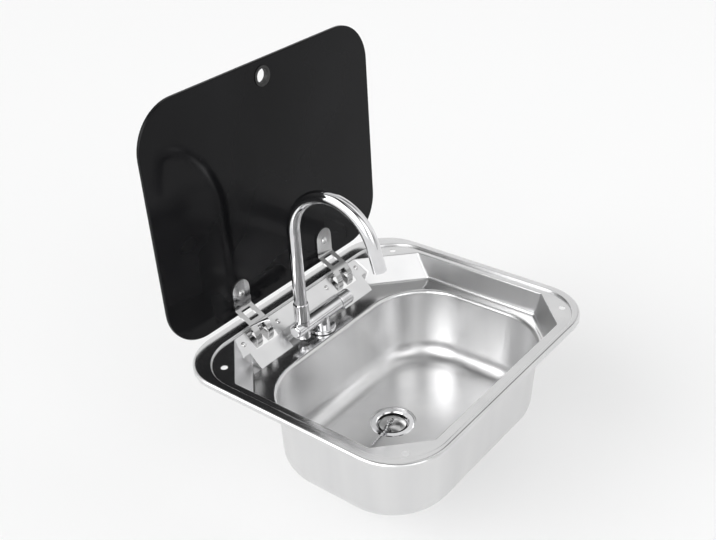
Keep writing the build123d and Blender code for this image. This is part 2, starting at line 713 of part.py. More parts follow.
with BuildPart() as lid_glass:
    with BuildSketch(Plane.XZ.offset(-LID_INNER_Y)):
        with Locations((0, LID_FOOT + GLASS_HEIGHT / 2)):
            RectangleRounded(GLASS_WIDTH, GLASS_HEIGHT, GLASS_CORNER_R)
        with Locations((0, FINGER_Z)):
            Circle(FINGER_HOLE_R, mode=Mode.SUBTRACT)
        with Locations((-HINGE_X, SCREW_Z), (HINGE_X, SCREW_Z)):
            Circle(BUSH_R, mode=Mode.SUBTRACT)
    extrude(amount=-GLASS_T)
    for lid_face in (lid_glass.faces().sort_by(Axis.Y)[0], lid_glass.faces().sort_by(Axis.Y)[-1]):
        chamfer(lid_face.outer_wire().edges(), GLASS_BEVEL)
write("lid_glass", lid_glass)

with BuildPart() as lid_grommet:
    with BuildSketch(Plane.XZ.offset(-LID_INNER_Y + GROMMET_LIP_T)):
        with Locations((0, FINGER_Z)):
            Circle(GROMMET_LIP_R)
    extrude(amount=-GROMMET_LIP_T)
    with BuildSketch(Plane.XZ.offset(-LID_INNER_Y)):
        with Locations((0, FINGER_Z)):
            Circle(FINGER_HOLE_R)
    extrude(amount=-GLASS_T)
    with BuildSketch(Plane.XZ.offset(-LID_INNER_Y - GLASS_T)):
        with Locations((0, FINGER_Z)):
            Circle(GROMMET_LIP_R)
    extrude(amount=-GROMMET_LIP_T)
    with Locations(Location((0, LID_INNER_Y, FINGER_Z), (90, 0, 0))):
        Cylinder(GROMMET_BORE_R, 4 * GLASS_T, mode=Mode.SUBTRACT)
    bore_edges = lid_grommet.edges().filter_by(GeomType.CIRCLE)
    bore_edges = bore_edges.filter_by(lambda e: abs(e.radius - GROMMET_BORE_R) < 0.01)
    fillet(bore_edges, GROMMET_LIP_T)
write("lid_grommet", lid_grommet)

with BuildPart() as lid_pads:
    for side in (-1, 1):
        tab_r = STRAP_WIDTH / 2
        with BuildSketch(Plane.XZ.offset(-LID_INNER_Y + PAD_T)):
            with Locations((side * HINGE_X, STRAP_TAB_TOP - tab_r)):
                Circle(tab_r)
            with Locations((side * HINGE_X, (STRAP_TAB_TOP - tab_r + PAD_FOOT_Z) / 2)):
                Rectangle(STRAP_WIDTH, STRAP_TAB_TOP - tab_r - PAD_FOOT_Z)
            with Locations((side * HINGE_X, SCREW_Z)):
                Circle(SCREW_R, mode=Mode.SUBTRACT)
        extrude(amount=-PAD_T)
write("lid_pads", lid_pads)

with BuildPart() as lid_screw_bushes:
    with BuildSketch(Plane.XZ.offset(-LID_INNER_Y)):
        with Locations((-HINGE_X, SCREW_Z), (HINGE_X, SCREW_Z)):
            Circle(BUSH_R)
            Circle(SCREW_R, mode=Mode.SUBTRACT)
    extrude(amount=-GLASS_T)
write("lid_screw_bushes", lid_screw_bushes)

with BuildPart() as lid_screws:
    for side in (-1, 1):
        with BuildSketch(Plane.XZ.offset(-TAB_FRONT_Y)):
            with Locations((side * HINGE_X, SCREW_Z)):
                Circle(SCREW_R)
        extrude(amount=-(STRAP_T + PAD_T + GLASS_T + CAP_NUT_T / 2))
        with BuildSketch(Plane.XZ.offset(-TAB_FRONT_Y)):
            with Locations((side * HINGE_X, SCREW_Z)):
                Circle(SCREW_HEAD_R)
        extrude(amount=SCREW_HEAD_T, taper=SCREW_HEAD_TAPER)
        with Locations(Location((side * HINGE_X, TAB_FRONT_Y - SCREW_HEAD_T, SCREW_Z))):
            Box(SCREW_HEAD_R, SCREW_HEAD_T, SCREW_SLOT, mode=Mode.SUBTRACT)
            Box(SCREW_SLOT, SCREW_HEAD_T, SCREW_HEAD_R, mode=Mode.SUBTRACT)
write("lid_screws", lid_screws)

with BuildPart() as lid_cap_nuts:
    for side in (-1, 1):
        with BuildSketch(Plane.XZ.offset(-LID_INNER_Y - GLASS_T)):
            with Locations((side * HINGE_X, SCREW_Z)):
                Circle(CAP_NUT_R)
        extrude(amount=-CAP_NUT_T)
    back_faces = lid_cap_nuts.faces().filter_by(Axis.Y).group_by(Axis.Y)[-1]
    fillet(back_faces.edges(), CAP_NUT_T / 2)
    with BuildSketch(Plane.XZ.offset(-LID_INNER_Y - GLASS_T)):
        with Locations((-HINGE_X, SCREW_Z), (HINGE_X, SCREW_Z)):
            Circle(SCREW_R)
    extrude(amount=-CAP_NUT_T / 2, mode=Mode.SUBTRACT)
write("lid_cap_nuts", lid_cap_nuts)

# ---------------------------------------------------------------- folding tap
AXIS = (TAP_Y, TAP_AXIS_Z)
BASE_FOOT_Z = DECK_Z + BASE_GASKET_T
BASE_TOP_Z = BASE_FOOT_Z + BASE_T
HUB_START = BARREL_LEFT - JOINT_GAP
HUB_END = SPOUT_X - ELBOW_HUB_END
SPIGOT_BORE_R = SPIGOT_R + SPIGOT_CLEARANCE
SPIGOT_END = BARREL_LEFT + SPIGOT_LENGTH
ELBOW_FOOT_Z = TAP_AXIS_Z - ELBOW_BELOW
ELBOW_TOP_Z = TAP_AXIS_Z + ELBOW_ABOVE
COLLAR_FOOT_Z = ELBOW_TOP_Z + JOINT_GAP
COLLAR_TOP_Z = COLLAR_FOOT_Z + COLLAR_LENGTH
KNOB_START = BARREL_RIGHT + JOINT_GAP
KNOB_END = KNOB_START + KNOB_LENGTH


def bar_along_x(start, end, radius, mode=Mode.ADD):
    """Round bar along the tap's axis between two ends."""
    with Locations(Location((start, TAP_Y, TAP_AXIS_Z), (0, 90, 0))):
        Cylinder(radius, end - start, align=(Align.CENTER, Align.CENTER, Align.MIN), mode=mode)


def bar_up(foot, top, radius, spot, mode=Mode.ADD):
    """Round bar standing on foot and reaching top, at a point of the plan view."""
    with Locations((spot[0], spot[1], foot)):
        Cylinder(radius, top - foot, align=(Align.CENTER, Align.CENTER, Align.MIN), mode=mode)


with BuildPart() as tap_barrel:
    bar_along_x(BARREL_LEFT, BARREL_RIGHT, BARREL_R)
    end_edges = tap_barrel.edges().filter_by(GeomType.CIRCLE)
    chamfer(end_edges, BARREL_CHAMFER)
    bar_up(BASE_TOP_Z, TAP_AXIS_Z, COLUMN_R, (0, TAP_Y))
    bar_along_x(BARREL_LEFT, SPIGOT_END, SPIGOT_BORE_R, mode=Mode.SUBTRACT)
    bar_along_x(BARREL_RIGHT - CARTRIDGE_LENGTH, BARREL_RIGHT, CARTRIDGE_R, mode=Mode.SUBTRACT)
    bar_along_x(BARREL_LEFT, BARREL_RIGHT, WATERWAY_R, mode=Mode.SUBTRACT)
    bar_up(BASE_TOP_Z, BASE_TOP_Z + SHANK_NECK_LENGTH, SHANK_NECK_R, (0, TAP_Y), mode=Mode.SUBTRACT)
    bar_up(BASE_TOP_Z, TAP_AXIS_Z, WATERWAY_R, (0, TAP_Y), mode=Mode.SUBTRACT)
write("tap_barrel", tap_barrel)

with BuildPart() as tap_base:
    bar_up(BASE_FOOT_Z, BASE_TOP_Z, BASE_R, (0, TAP_Y))
    fillet(tap_base.edges().sort_by(Axis.Z)[-1], BASE_EDGE_R)
    bar_up(BASE_FOOT_Z, BASE_TOP_Z, SHANK_R, (0, TAP_Y), mode=Mode.SUBTRACT)
write("tap_base", tap_base)

with BuildPart() as tap_base_gasket:
    bar_up(DECK_Z, BASE_FOOT_Z, BASE_GASKET_R, (0, TAP_Y))
    bar_up(DECK_Z, BASE_FOOT_Z, SHANK_R, (0, TAP_Y), mode=Mode.SUBTRACT)
write("tap_base_gasket", tap_base_gasket)

WASHER_TOP_Z = DECK_Z - SHEET
NUT_TOP_Z = WASHER_TOP_Z - BACK_WASHER_T
RELIEF_TOP_Z = NUT_TOP_Z - BACK_NUT_T - JOINT_GAP
with BuildPart() as tap_shank:
    bar_up(BASE_TOP_Z - SHANK_LENGTH, BASE_TOP_Z, SHANK_R, (0, TAP_Y))
    chamfer(tap_shank.edges().sort_by(Axis.Z)[0], SHANK_CHAMFER)
    # thread relief under the back nut
    with BuildSketch(Plane.XY.offset(RELIEF_TOP_Z)):
        with Locations((0, TAP_Y)):
            Circle(SHANK_R)
            Circle(SHANK_R - SHANK_RELIEF_DEPTH, mode=Mode.SUBTRACT)
    extrude(amount=-SHANK_RELIEF, mode=Mode.SUBTRACT)
    bar_up(BASE_TOP_Z, BASE_TOP_Z + SHANK_NECK_LENGTH, SHANK_NECK_R, (0, TAP_Y))
    bar_up(
        BASE_TOP_Z - SHANK_LENGTH, BASE_TOP_Z + SHANK_NECK_LENGTH, SHANK_BORE_R, (0, TAP_Y),
        mode=Mode.SUBTRACT,
    )
write("tap_shank", tap_shank)

with BuildPart() as tap_back_washer:
    bar_up(NUT_TOP_Z, WASHER_TOP_Z, BACK_WASHER_R, (0, TAP_Y))
    bar_up(NUT_TOP_Z, WASHER_TOP_Z, SHANK_R, (0, TAP_Y), mode=Mode.SUBTRACT)
write("tap_back_washer", tap_back_washer)

with BuildPart() as tap_back_nut:
    with BuildSketch(Plane.XY.offset(NUT_TOP_Z - BACK_NUT_T)):
        with Locations((0, TAP_Y)):
            RegularPolygon(BACK_NUT_AF / 2, 6, major_radius=False)
            Circle(SHANK_R, mode=Mode.SUBTRACT)
    extrude(amount=BACK_NUT_T)
write("tap_back_nut", tap_back_nut)

with BuildPart() as valve_cartridge:
    bar_along_x(BARREL_RIGHT - CARTRIDGE_LENGTH, BARREL_RIGHT - CARTRIDGE_INSET, CARTRIDGE_R)
    bar_along_x(
        BARREL_RIGHT - SPINDLE_BITE, BARREL_RIGHT, SPINDLE_R + PIN_CLEARANCE, mode=Mode.SUBTRACT
    )
    bar_along_x(
        BARREL_RIGHT - CARTRIDGE_LENGTH, BARREL_RIGHT, CARTRIDGE_PORT_R, mode=Mode.SUBTRACT
    )
write("valve_cartridge", valve_cartridge)

# knob that turns the valve
with BuildPart() as tap_knob:
    bar_along_x(KNOB_START, KNOB_END, KNOB_R)
    fillet(tap_knob.edges().filter_by(GeomType.CIRCLE).sort_by(Axis.X)[-1], KNOB_DOME_R)
    fillet(tap_knob.edges().filter_by(GeomType.CIRCLE).sort_by(Axis.X)[0], KNOB_FOOT_R)
    with Locations(Location((KNOB_START + KNOB_GRIP_START, TAP_Y, TAP_AXIS_Z), (0, 90, 0))):
        with PolarLocations(KNOB_R + KNOB_GRIP_OUT, KNOB_GRIPS):
            Cylinder(
                KNOB_GRIP_R, KNOB_GRIP_LENGTH,
                align=(Align.CENTER, Align.CENTER, Align.MIN), mode=Mode.SUBTRACT,
            )
    bar_along_x(KNOB_START, KNOB_START + SPINDLE_SOCKET, SPINDLE_R, mode=Mode.SUBTRACT)
    bar_along_x(KNOB_END - KNOB_CAP_T, KNOB_END, KNOB_CAP_R, mode=Mode.SUBTRACT)
write("tap_knob", tap_knob)

with BuildPart() as knob_cap:
    bar_along_x(KNOB_END - KNOB_CAP_T, KNOB_END + KNOB_CAP_OUT, KNOB_CAP_R)
    fillet(knob_cap.edges().filter_by(GeomType.CIRCLE).sort_by(Axis.X)[-1], KNOB_CAP_OUT)
write("knob_cap", knob_cap)

with BuildPart() as valve_spindle:
    bar_along_x(BARREL_RIGHT - SPINDLE_BITE + JOINT_GAP, KNOB_START + SPINDLE_SOCKET, SPINDLE_R)
write("valve_spindle", valve_spindle)

# elbow that folds forward and carries the spout
with BuildPart() as tap_elbow:
    bar_up(ELBOW_FOOT_Z, ELBOW_TOP_Z, ELBOW_R, (SPOUT_X, TAP_Y))
    chamfer(tap_elbow.edges().sort_by(Axis.Z)[0], ELBOW_CHAMFER)
    bar_along_x(HUB_END, HUB_START, ELBOW_HUB_R)
    bar_along_x(HUB_START, SPIGOT_END - JOINT_GAP, SPIGOT_R)
    groove_spots = [BARREL_LEFT + SPIGOT_LENGTH * share for share in (ORING_FIRST, ORING_SECOND)]
    for groove_x in groove_spots:
        with BuildSketch(Plane.YZ.offset(groove_x - ORING_T)):
            with Locations(AXIS):
                Circle(SPIGOT_R + ORING_T)
                Circle(SPIGOT_R - ORING_T, mode=Mode.SUBTRACT)
        extrude(amount=2 * ORING_T, mode=Mode.SUBTRACT)
    bar_along_x(SPOUT_X, SPIGOT_END, WATERWAY_R, mode=Mode.SUBTRACT)
    bar_up(TAP_AXIS_Z, ELBOW_TOP_Z, WATERWAY_R, (SPOUT_X, TAP_Y), mode=Mode.SUBTRACT)
    bar_up(ELBOW_SOCKET_Z, ELBOW_TOP_Z, SPIGOT_BORE_R, (SPOUT_X, TAP_Y), mode=Mode.SUBTRACT)
write("tap_elbow", tap_elbow)

with BuildPart() as elbow_o_rings:
    for groove_x in groove_spots:
        with BuildSketch(Plane.YZ.offset(groove_x - ORING_T)):
            with Locations(AXIS):
                Circle(SPIGOT_R)
                Circle(SPIGOT_R - ORING_T, mode=Mode.SUBTRACT)
        extrude(amount=2 * ORING_T)
write("elbow_o_rings", elbow_o_rings)

with BuildPart() as elbow_cap:
    bar_along_x(HUB_END - END_CAP_T, HUB_END, END_CAP_R)
    fillet(elbow_cap.edges().filter_by(GeomType.CIRCLE).sort_by(Axis.X)[0], END_CAP_T - CAP_LAND)
write("elbow_cap", elbow_cap)

# spout: collar that turns in the elbow, and the bent tube
SOCKET_Z = COLLAR_TOP_Z - SPOUT_SOCKET
SWIVEL_FOOT_Z = ELBOW_SOCKET_Z + JOINT_GAP
SEAL_Z = (SWIVEL_FOOT_Z + ELBOW_TOP_Z) / 2
with BuildPart() as spout_collar:
    bar_up(COLLAR_FOOT_Z, COLLAR_TOP_Z, COLLAR_R, (SPOUT_X, TAP_Y))
    collar_ends = spout_collar.edges().filter_by(GeomType.CIRCLE)
    chamfer(collar_ends, COLLAR_CHAMFER)
    bar_up(SWIVEL_FOOT_Z, COLLAR_FOOT_Z, SPIGOT_R, (SPOUT_X, TAP_Y))
    with BuildSketch(Plane.XY.offset(SEAL_Z - ORING_T)):
        with Locations((SPOUT_X, TAP_Y)):
            Circle(SPIGOT_R + ORING_T)
            Circle(SPIGOT_R - ORING_T, mode=Mode.SUBTRACT)
    extrude(amount=2 * ORING_T, mode=Mode.SUBTRACT)
    bar_up(SOCKET_Z, COLLAR_TOP_Z, SPOUT_R, (SPOUT_X, TAP_Y), mode=Mode.SUBTRACT)
    bar_up(SWIVEL_FOOT_Z, COLLAR_TOP_Z, WATERWAY_R, (SPOUT_X, TAP_Y), mode=Mode.SUBTRACT)
write("spout_collar", spout_collar)

with BuildPart() as spout_seal:
    with BuildSketch(Plane.XY.offset(SEAL_Z - ORING_T)):
        with Locations((SPOUT_X, TAP_Y)):
            Circle(SPIGOT_R)
            Circle(SPIGOT_R - ORING_T, mode=Mode.SUBTRACT)
    extrude(amount=2 * ORING_T)
write("spout_seal", spout_seal)

with BuildPart() as spout_tube:
    with BuildLine(Plane.YZ.offset(SPOUT_X)) as spout_path:
        Line((TAP_Y, SOCKET_Z), (TAP_Y, SPOUT_ARCH_Z))
        CenterArc((TAP_Y - SPOUT_ARCH_R, SPOUT_ARCH_Z), SPOUT_ARCH_R, 0, SPOUT_ARCH_TURN)
        arch_end = spout_path.vertices().sort_by(Axis.Y)[0]
        tip_y = arch_end.Y - SPOUT_END * sin(radians(SPOUT_ARCH_TURN))
        tip_z = arch_end.Z + SPOUT_END * cos(radians(SPOUT_ARCH_TURN))
        Line((arch_end.Y, arch_end.Z), (tip_y, tip_z))
    with BuildSketch(Plane.XY.offset(SOCKET_Z)):
        with Locations((SPOUT_X, TAP_Y)):
            Circle(SPOUT_R)
            Circle(SPOUT_R - SPOUT_WALL, mode=Mode.SUBTRACT)
    sweep(path=spout_path.wire())
write("spout_tube", spout_tube)

# ---------------------------------------------------------------- waste outlet
SHELF_Z = DRAIN_SEAT_Z - DRAIN_SHELF_DEPTH
CUP_FLOOR_Z = DRAIN_SEAT_Z - DRAIN_CUP_DEPTH
BODY_TOP_Z = DRAIN_SEAT_Z - SHEET - GASKET_T
BODY_FLOOR_Z = BODY_TOP_Z - DRAIN_BODY_FLOOR
BODY_FOOT_Z = BODY_TOP_Z - DRAIN_BODY_HEIGHT
NECK_FOOT_Z = BODY_FOOT_Z - DRAIN_NECK_LENGTH
DRAIN = (0, DRAIN_Y)


DRAIN_AXIS = Axis((0, DRAIN_Y, 0), (0, 0, 1))


def ring_profile(points):
    """Closed profile of (radius, height) points, ready to be turned round the waste's axis."""
    with BuildSketch(Plane.XZ.offset(-DRAIN_Y)) as profile:
        with BuildLine():
            Polyline(*points, close=True)
        make_face()
    return profile.sketch


with BuildPart() as drain_flange:
    revolve(ring_profile([
        (0, CUP_FLOOR_Z),
        (DRAIN_THROAT_R, CUP_FLOOR_Z),
        (DRAIN_THROAT_R, SHELF_Z),
        (DRAIN_CUP_R, SHELF_Z),
        (DRAIN_CUP_R, DRAIN_SEAT_Z),
        (DRAIN_CUP_R + DRAIN_FLANGE_T, DRAIN_SEAT_Z + DRAIN_FLANGE_T),
        (DRAIN_FLANGE_R - DRAIN_FLANGE_T, DRAIN_SEAT_Z + DRAIN_FLANGE_T),
        (DRAIN_FLANGE_R, DRAIN_SEAT_Z + DRAIN_FLANGE_T / 3),
        (DRAIN_FLANGE_R, DRAIN_SEAT_Z),
        (DRAIN_CUP_R + DRAIN_WALL, DRAIN_SEAT_Z),
        (DRAIN_CUP_R + DRAIN_WALL, SHELF_Z - DRAIN_WALL),
        (DRAIN_THROAT_R + DRAIN_WALL, SHELF_Z - DRAIN_WALL),
        (DRAIN_THROAT_R + DRAIN_WALL, CUP_FLOOR_Z - DRAIN_WALL),
        (0, CUP_FLOOR_Z - DRAIN_WALL),
    ]), axis=DRAIN_AXIS)
    with Locations((0, DRAIN_Y, CUP_FLOOR_Z)):
        Cylinder(DRAIN_SCREW_R, 4 * DRAIN_WALL, mode=Mode.SUBTRACT)
        with PolarLocations(STRAINER_PITCH_R, STRAINER_HOLES):
            Cylinder(STRAINER_HOLE_R, 4 * DRAIN_WALL, mode=Mode.SUBTRACT)
write("drain_flange", drain_flange)

with BuildPart() as drain_gasket:
    bar_up(BODY_TOP_Z, BODY_TOP_Z + GASKET_T, GASKET_R, DRAIN)
    bar_up(
        BODY_TOP_Z, BODY_TOP_Z + GASKET_T, DRAIN_CUP_R + DRAIN_WALL + DRAIN_HOLE_GAP, DRAIN,
        mode=Mode.SUBTRACT,
    )
write("drain_gasket", drain_gasket)

BODY_BORE_R = DRAIN_CUP_R + DRAIN_WALL + DRAIN_BODY_GAP
BOSS_TOP_Z = CUP_FLOOR_Z - DRAIN_WALL
with BuildPart() as drain_body:
    revolve(ring_profile([
        (BODY_BORE_R, BODY_TOP_Z),
        (GASKET_R, BODY_TOP_Z),
        (GASKET_R, BODY_TOP_Z - DRAIN_BODY_RIM),
        (BODY_BORE_R + DRAIN_BODY_WALL, BODY_TOP_Z - DRAIN_BODY_RIM),
        (BODY_BORE_R + DRAIN_BODY_WALL, BODY_FLOOR_Z),
        (DRAIN_NECK_R, BODY_FOOT_Z),
        (DRAIN_NECK_R, NECK_FOOT_Z),
        (DRAIN_NECK_BORE_R, NECK_FOOT_Z),
        (DRAIN_NECK_BORE_R, BODY_FOOT_Z + DRAIN_BODY_WALL),
        (BODY_BORE_R, BODY_FLOOR_Z + DRAIN_BODY_WALL),
    ]), axis=DRAIN_AXIS)
    bar_up(BOSS_TOP_Z - DRAIN_BOSS_DEPTH, BOSS_TOP_Z, DRAIN_BOSS_R, DRAIN)
    with BuildSketch(Plane.XY.offset(BOSS_TOP_Z - DRAIN_BOSS_DEPTH)):
        with Locations(DRAIN):
            Rectangle(2 * BODY_BORE_R + DRAIN_BODY_WALL, DRAIN_RIB_T)
            Rectangle(DRAIN_RIB_T, 2 * BODY_BORE_R + DRAIN_BODY_WALL)
    extrude(amount=DRAIN_BOSS_DEPTH - DRAIN_BODY_GAP)
    bar_up(BOSS_TOP_Z - DRAIN_SCREW_DEPTH, BOSS_TOP_Z, DRAIN_SCREW_R, DRAIN, mode=Mode.SUBTRACT)
write("drain_body", drain_body)

with BuildPart() as drain_screw:
    bar_up(BOSS_TOP_Z - DRAIN_SCREW_DEPTH, CUP_FLOOR_Z, DRAIN_SCREW_R, DRAIN)
    bar_up(CUP_FLOOR_Z, CUP_FLOOR_Z + DRAIN_SCREW_HEAD, DRAIN_SCREW_HEAD_R, DRAIN)
    fillet(drain_screw.edges().sort_by(Axis.Z)[-1], DRAIN_SCREW_HEAD / 2)
    with Locations((0, DRAIN_Y, CUP_FLOOR_Z + DRAIN_SCREW_HEAD)):
        Box(2 * DRAIN_SCREW_HEAD_R, DRAIN_SCREW_SLOT, DRAIN_SCREW_HEAD, mode=Mode.SUBTRACT)
write("drain_screw", drain_screw)

TAIL_TOP_Z = NECK_FOOT_Z
TAIL_FOOT_Z = TAIL_TOP_Z - TAIL_LENGTH
with BuildPart() as drain_tail:
    bar_up(TAIL_TOP_Z - TAIL_FLANGE_T, TAIL_TOP_Z, TAIL_FLANGE_R, DRAIN)
    bar_up(TAIL_FOOT_Z, TAIL_TOP_Z, TAIL_R, DRAIN)
    for barb in range(TAIL_BARBS):
        barb_z = TAIL_FOOT_Z + barb * TAIL_BARB_PITCH
        revolve(ring_profile([
            (TAIL_BORE_R, barb_z),
            (TAIL_R, barb_z),
            (TAIL_R + TAIL_BARB_OVER, barb_z + TAIL_BARB_PITCH / 2),
            (TAIL_R, barb_z + TAIL_BARB_PITCH / 2),
            (TAIL_BORE_R, barb_z + TAIL_BARB_PITCH / 2),
        ]), axis=DRAIN_AXIS)
    bar_up(TAIL_FOOT_Z, TAIL_TOP_Z, TAIL_BORE_R, DRAIN, mode=Mode.SUBTRACT)
write("drain_tail", drain_tail)

NUT_FOOT_Z = TAIL_TOP_Z - TAIL_FLANGE_T - DRAIN_BODY_WALL
with BuildPart() as drain_tail_nut:
    bar_up(NUT_FOOT_Z, NUT_FOOT_Z + TAIL_NUT_HEIGHT, TAIL_NUT_R, DRAIN)
    with Locations((0, DRAIN_Y, NUT_FOOT_Z + TAIL_NUT_HEIGHT / 2)):
        with PolarLocations(TAIL_NUT_R, TAIL_NUT_GRIPS):
            Cylinder(TAIL_NUT_GRIP_R, TAIL_NUT_HEIGHT, mode=Mode.SUBTRACT)
    bar_up(
        TAIL_TOP_Z - TAIL_FLANGE_T, NUT_FOOT_Z + TAIL_NUT_HEIGHT, DRAIN_NECK_R, DRAIN,
        mode=Mode.SUBTRACT,
    )
    bar_up(NUT_FOOT_Z, NUT_FOOT_Z + TAIL_NUT_HEIGHT, TAIL_R + JOINT_GAP, DRAIN, mode=Mode.SUBTRACT)
write("drain_tail_nut", drain_tail_nut)

# ---------------------------------------------------------------- plug and its chain
SEAL_FOOT_Z = SHELF_Z + PLUG_SEAT_GAP
PLUG_FOOT_Z = SEAL_FOOT_Z + PLUG_SEAL_T
PLUG_TOP_Z = PLUG_FOOT_Z + PLUG_RIM + PLUG_DOME
EYE_Z = PLUG_TOP_Z + PLUG_EYE_HEIGHT - PLUG_EYE_R
CHAIN_Z = FLOOR_Z + BEAD_R + CHAIN_LIFT

with BuildPart() as plug:
    with BuildSketch(Plane.XZ.offset(-DRAIN_Y)):
        with BuildLine():
            Line((0, PLUG_FOOT_Z), (PLUG_R, PLUG_FOOT_Z))
            Line((PLUG_R, PLUG_FOOT_Z), (PLUG_R, PLUG_FOOT_Z + PLUG_RIM))
            TangentArc((0, PLUG_TOP_Z), (PLUG_R, PLUG_FOOT_Z + PLUG_RIM), tangent=(1, 0))
            Line((0, PLUG_TOP_Z), (0, PLUG_FOOT_Z))
        make_face()
    revolve(axis=Axis((0, DRAIN_Y, 0), (0, 0, 1)))
    with BuildSketch(Plane.XZ.offset(-DRAIN_Y + PLUG_EYE_T / 2)):
        with Locations((0, EYE_Z)):
            Circle(PLUG_EYE_R)
        with Locations((0, EYE_Z - PLUG_EYE_HEIGHT / 2)):
            Rectangle(2 * PLUG_EYE_R, PLUG_EYE_HEIGHT)
        with Locations((0, EYE_Z)):
            Circle(PLUG_EYE_HOLE_R, mode=Mode.SUBTRACT)
    extrude(amount=-PLUG_EYE_T)
write("plug", plug)

with BuildPart() as plug_seal:
    bar_up(SEAL_FOOT_Z, PLUG_FOOT_Z, PLUG_R + PLUG_SEAL_OVER, DRAIN)
    fillet(plug_seal.edges(), PLUG_SEAL_T / 3)
write("plug_seal", plug_seal)

with BuildPart() as plug_ring:
    with Locations((-PLUG_RING_R, DRAIN_Y, EYE_Z)):
        Torus(PLUG_RING_R, PLUG_RING_WIRE_R)
write("plug_ring", plug_ring)

LOOP_X = -2 * PLUG_RING_R
with BuildPart() as plug_chain:
    with Locations(Location((LOOP_X, DRAIN_Y, EYE_Z), (90, 0, 0))):
        Torus(CHAIN_LOOP_R, CHAIN_LOOP_WIRE_R)
    chain_end_x = CHAIN_FIRST_X - (BEADS - 1) * BEAD_PITCH
    with BuildLine() as chain_path:
        Spline(
            (LOOP_X - CHAIN_LOOP_R, DRAIN_Y, EYE_Z),
            (CHAIN_FIRST_X, DRAIN_Y - CHAIN_LOOP_R, CHAIN_Z + BEAD_R),
            (CHAIN_FIRST_X - 2 * BEAD_PITCH, -BEAD_R, CHAIN_Z),
            ((CHAIN_FIRST_X + chain_end_x) / 2, CHAIN_END_Y / 2, CHAIN_Z),
            (chain_end_x, CHAIN_END_Y, CHAIN_Z),
        )
    strand = chain_path.wire()
    first_share = (LOOP_X - CHAIN_LOOP_R - CHAIN_FIRST_X) / strand.length
    bead_spots = [
        strand @ (first_share + (1 - first_share) * bead / (BEADS - 1)) for bead in range(BEADS)
    ]
    knots = [strand @ 0] + bead_spots
    for start, stop in zip(knots[:-1], knots[1:]):
        with BuildSketch(Plane(start, z_dir=stop - start)):
            Circle(BEAD_WIRE_R)
        extrude(amount=(stop - start).length)
    with Locations(*bead_spots):
        Sphere(BEAD_R)
write("plug_chain", plug_chain)
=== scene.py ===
import bpy
import bmesh
import json
from math import radians, sin, cos, pi
from mathutils import Vector, Matrix

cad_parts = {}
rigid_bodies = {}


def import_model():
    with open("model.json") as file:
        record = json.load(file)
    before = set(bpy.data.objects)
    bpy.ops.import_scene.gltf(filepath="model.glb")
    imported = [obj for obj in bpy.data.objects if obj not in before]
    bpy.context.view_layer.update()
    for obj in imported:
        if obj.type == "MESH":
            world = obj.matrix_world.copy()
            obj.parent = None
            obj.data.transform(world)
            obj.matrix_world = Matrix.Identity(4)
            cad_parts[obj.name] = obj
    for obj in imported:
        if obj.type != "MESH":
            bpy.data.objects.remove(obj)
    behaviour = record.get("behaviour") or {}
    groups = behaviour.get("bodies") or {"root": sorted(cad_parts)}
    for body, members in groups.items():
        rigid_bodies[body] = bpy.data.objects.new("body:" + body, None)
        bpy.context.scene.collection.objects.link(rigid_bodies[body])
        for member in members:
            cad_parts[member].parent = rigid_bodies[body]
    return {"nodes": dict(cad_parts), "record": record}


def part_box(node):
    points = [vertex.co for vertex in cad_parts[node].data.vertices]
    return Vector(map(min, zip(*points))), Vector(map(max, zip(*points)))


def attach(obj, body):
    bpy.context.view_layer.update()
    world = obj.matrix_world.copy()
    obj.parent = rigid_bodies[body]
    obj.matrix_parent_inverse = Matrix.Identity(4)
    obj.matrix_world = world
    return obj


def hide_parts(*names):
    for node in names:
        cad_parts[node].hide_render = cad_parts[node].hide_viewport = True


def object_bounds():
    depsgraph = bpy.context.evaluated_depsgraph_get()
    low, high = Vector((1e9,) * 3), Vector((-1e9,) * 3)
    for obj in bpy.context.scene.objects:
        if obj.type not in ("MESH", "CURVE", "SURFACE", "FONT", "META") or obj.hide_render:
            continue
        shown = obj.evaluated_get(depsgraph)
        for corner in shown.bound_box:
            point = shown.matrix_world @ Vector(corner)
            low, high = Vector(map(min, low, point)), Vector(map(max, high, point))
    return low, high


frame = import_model()
cad_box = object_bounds()
nodes = frame["nodes"]


def place_object(name, data):
    """Object in the scene that carries some data."""
    thing = bpy.data.objects.new(name, data)
    bpy.context.scene.collection.objects.link(thing)
    return thing


# ---------------------------------------------------------------- camera
CAMERA_AZIMUTH = -49.8
CAMERA_ELEVATION = 30.7
CAMERA_ROLL = -3.6
CAMERA_OFFSET = (0.0352, -0.0773)
CAMERA_DISTANCE = 1.2687
FOCAL_PIXELS = 995.7
IMAGE_WIDTH = 716.0
IMAGE_CENTRE_SHIFT = (4.4, 1.0)


def add_camera():
    """Camera at the viewing angle of the photograph, with a small shift for its framing."""
    az, el, roll = radians(CAMERA_AZIMUTH), radians(CAMERA_ELEVATION), radians(CAMERA_ROLL)
    back = Vector((sin(az) * cos(el), -cos(az) * cos(el), sin(el)))
    level_right = (-back).cross(Vector((0, 0, 1))).normalized()
    level_up = level_right.cross(-back)
    right = cos(roll) * level_right + sin(roll) * level_up
    up = -sin(roll) * level_right + cos(roll) * level_up
    place = -CAMERA_OFFSET[0] * right - CAMERA_OFFSET[1] * up + CAMERA_DISTANCE * back
    data = bpy.data.cameras.new("camera")
    data.sensor_width = 36.0
    data.lens = FOCAL_PIXELS * data.sensor_width / IMAGE_WIDTH
    data.shift_x = -IMAGE_CENTRE_SHIFT[0] / IMAGE_WIDTH
    data.shift_y = IMAGE_CENTRE_SHIFT[1] / IMAGE_WIDTH
    data.clip_start, data.clip_end = 0.01, 50.0
    camera = place_object("camera", data)
    turn = Matrix((right, up, back)).transposed().to_4x4()
    camera.matrix_world = Matrix.Translation(place) @ turn
    bpy.context.scene.camera = camera


add_camera()


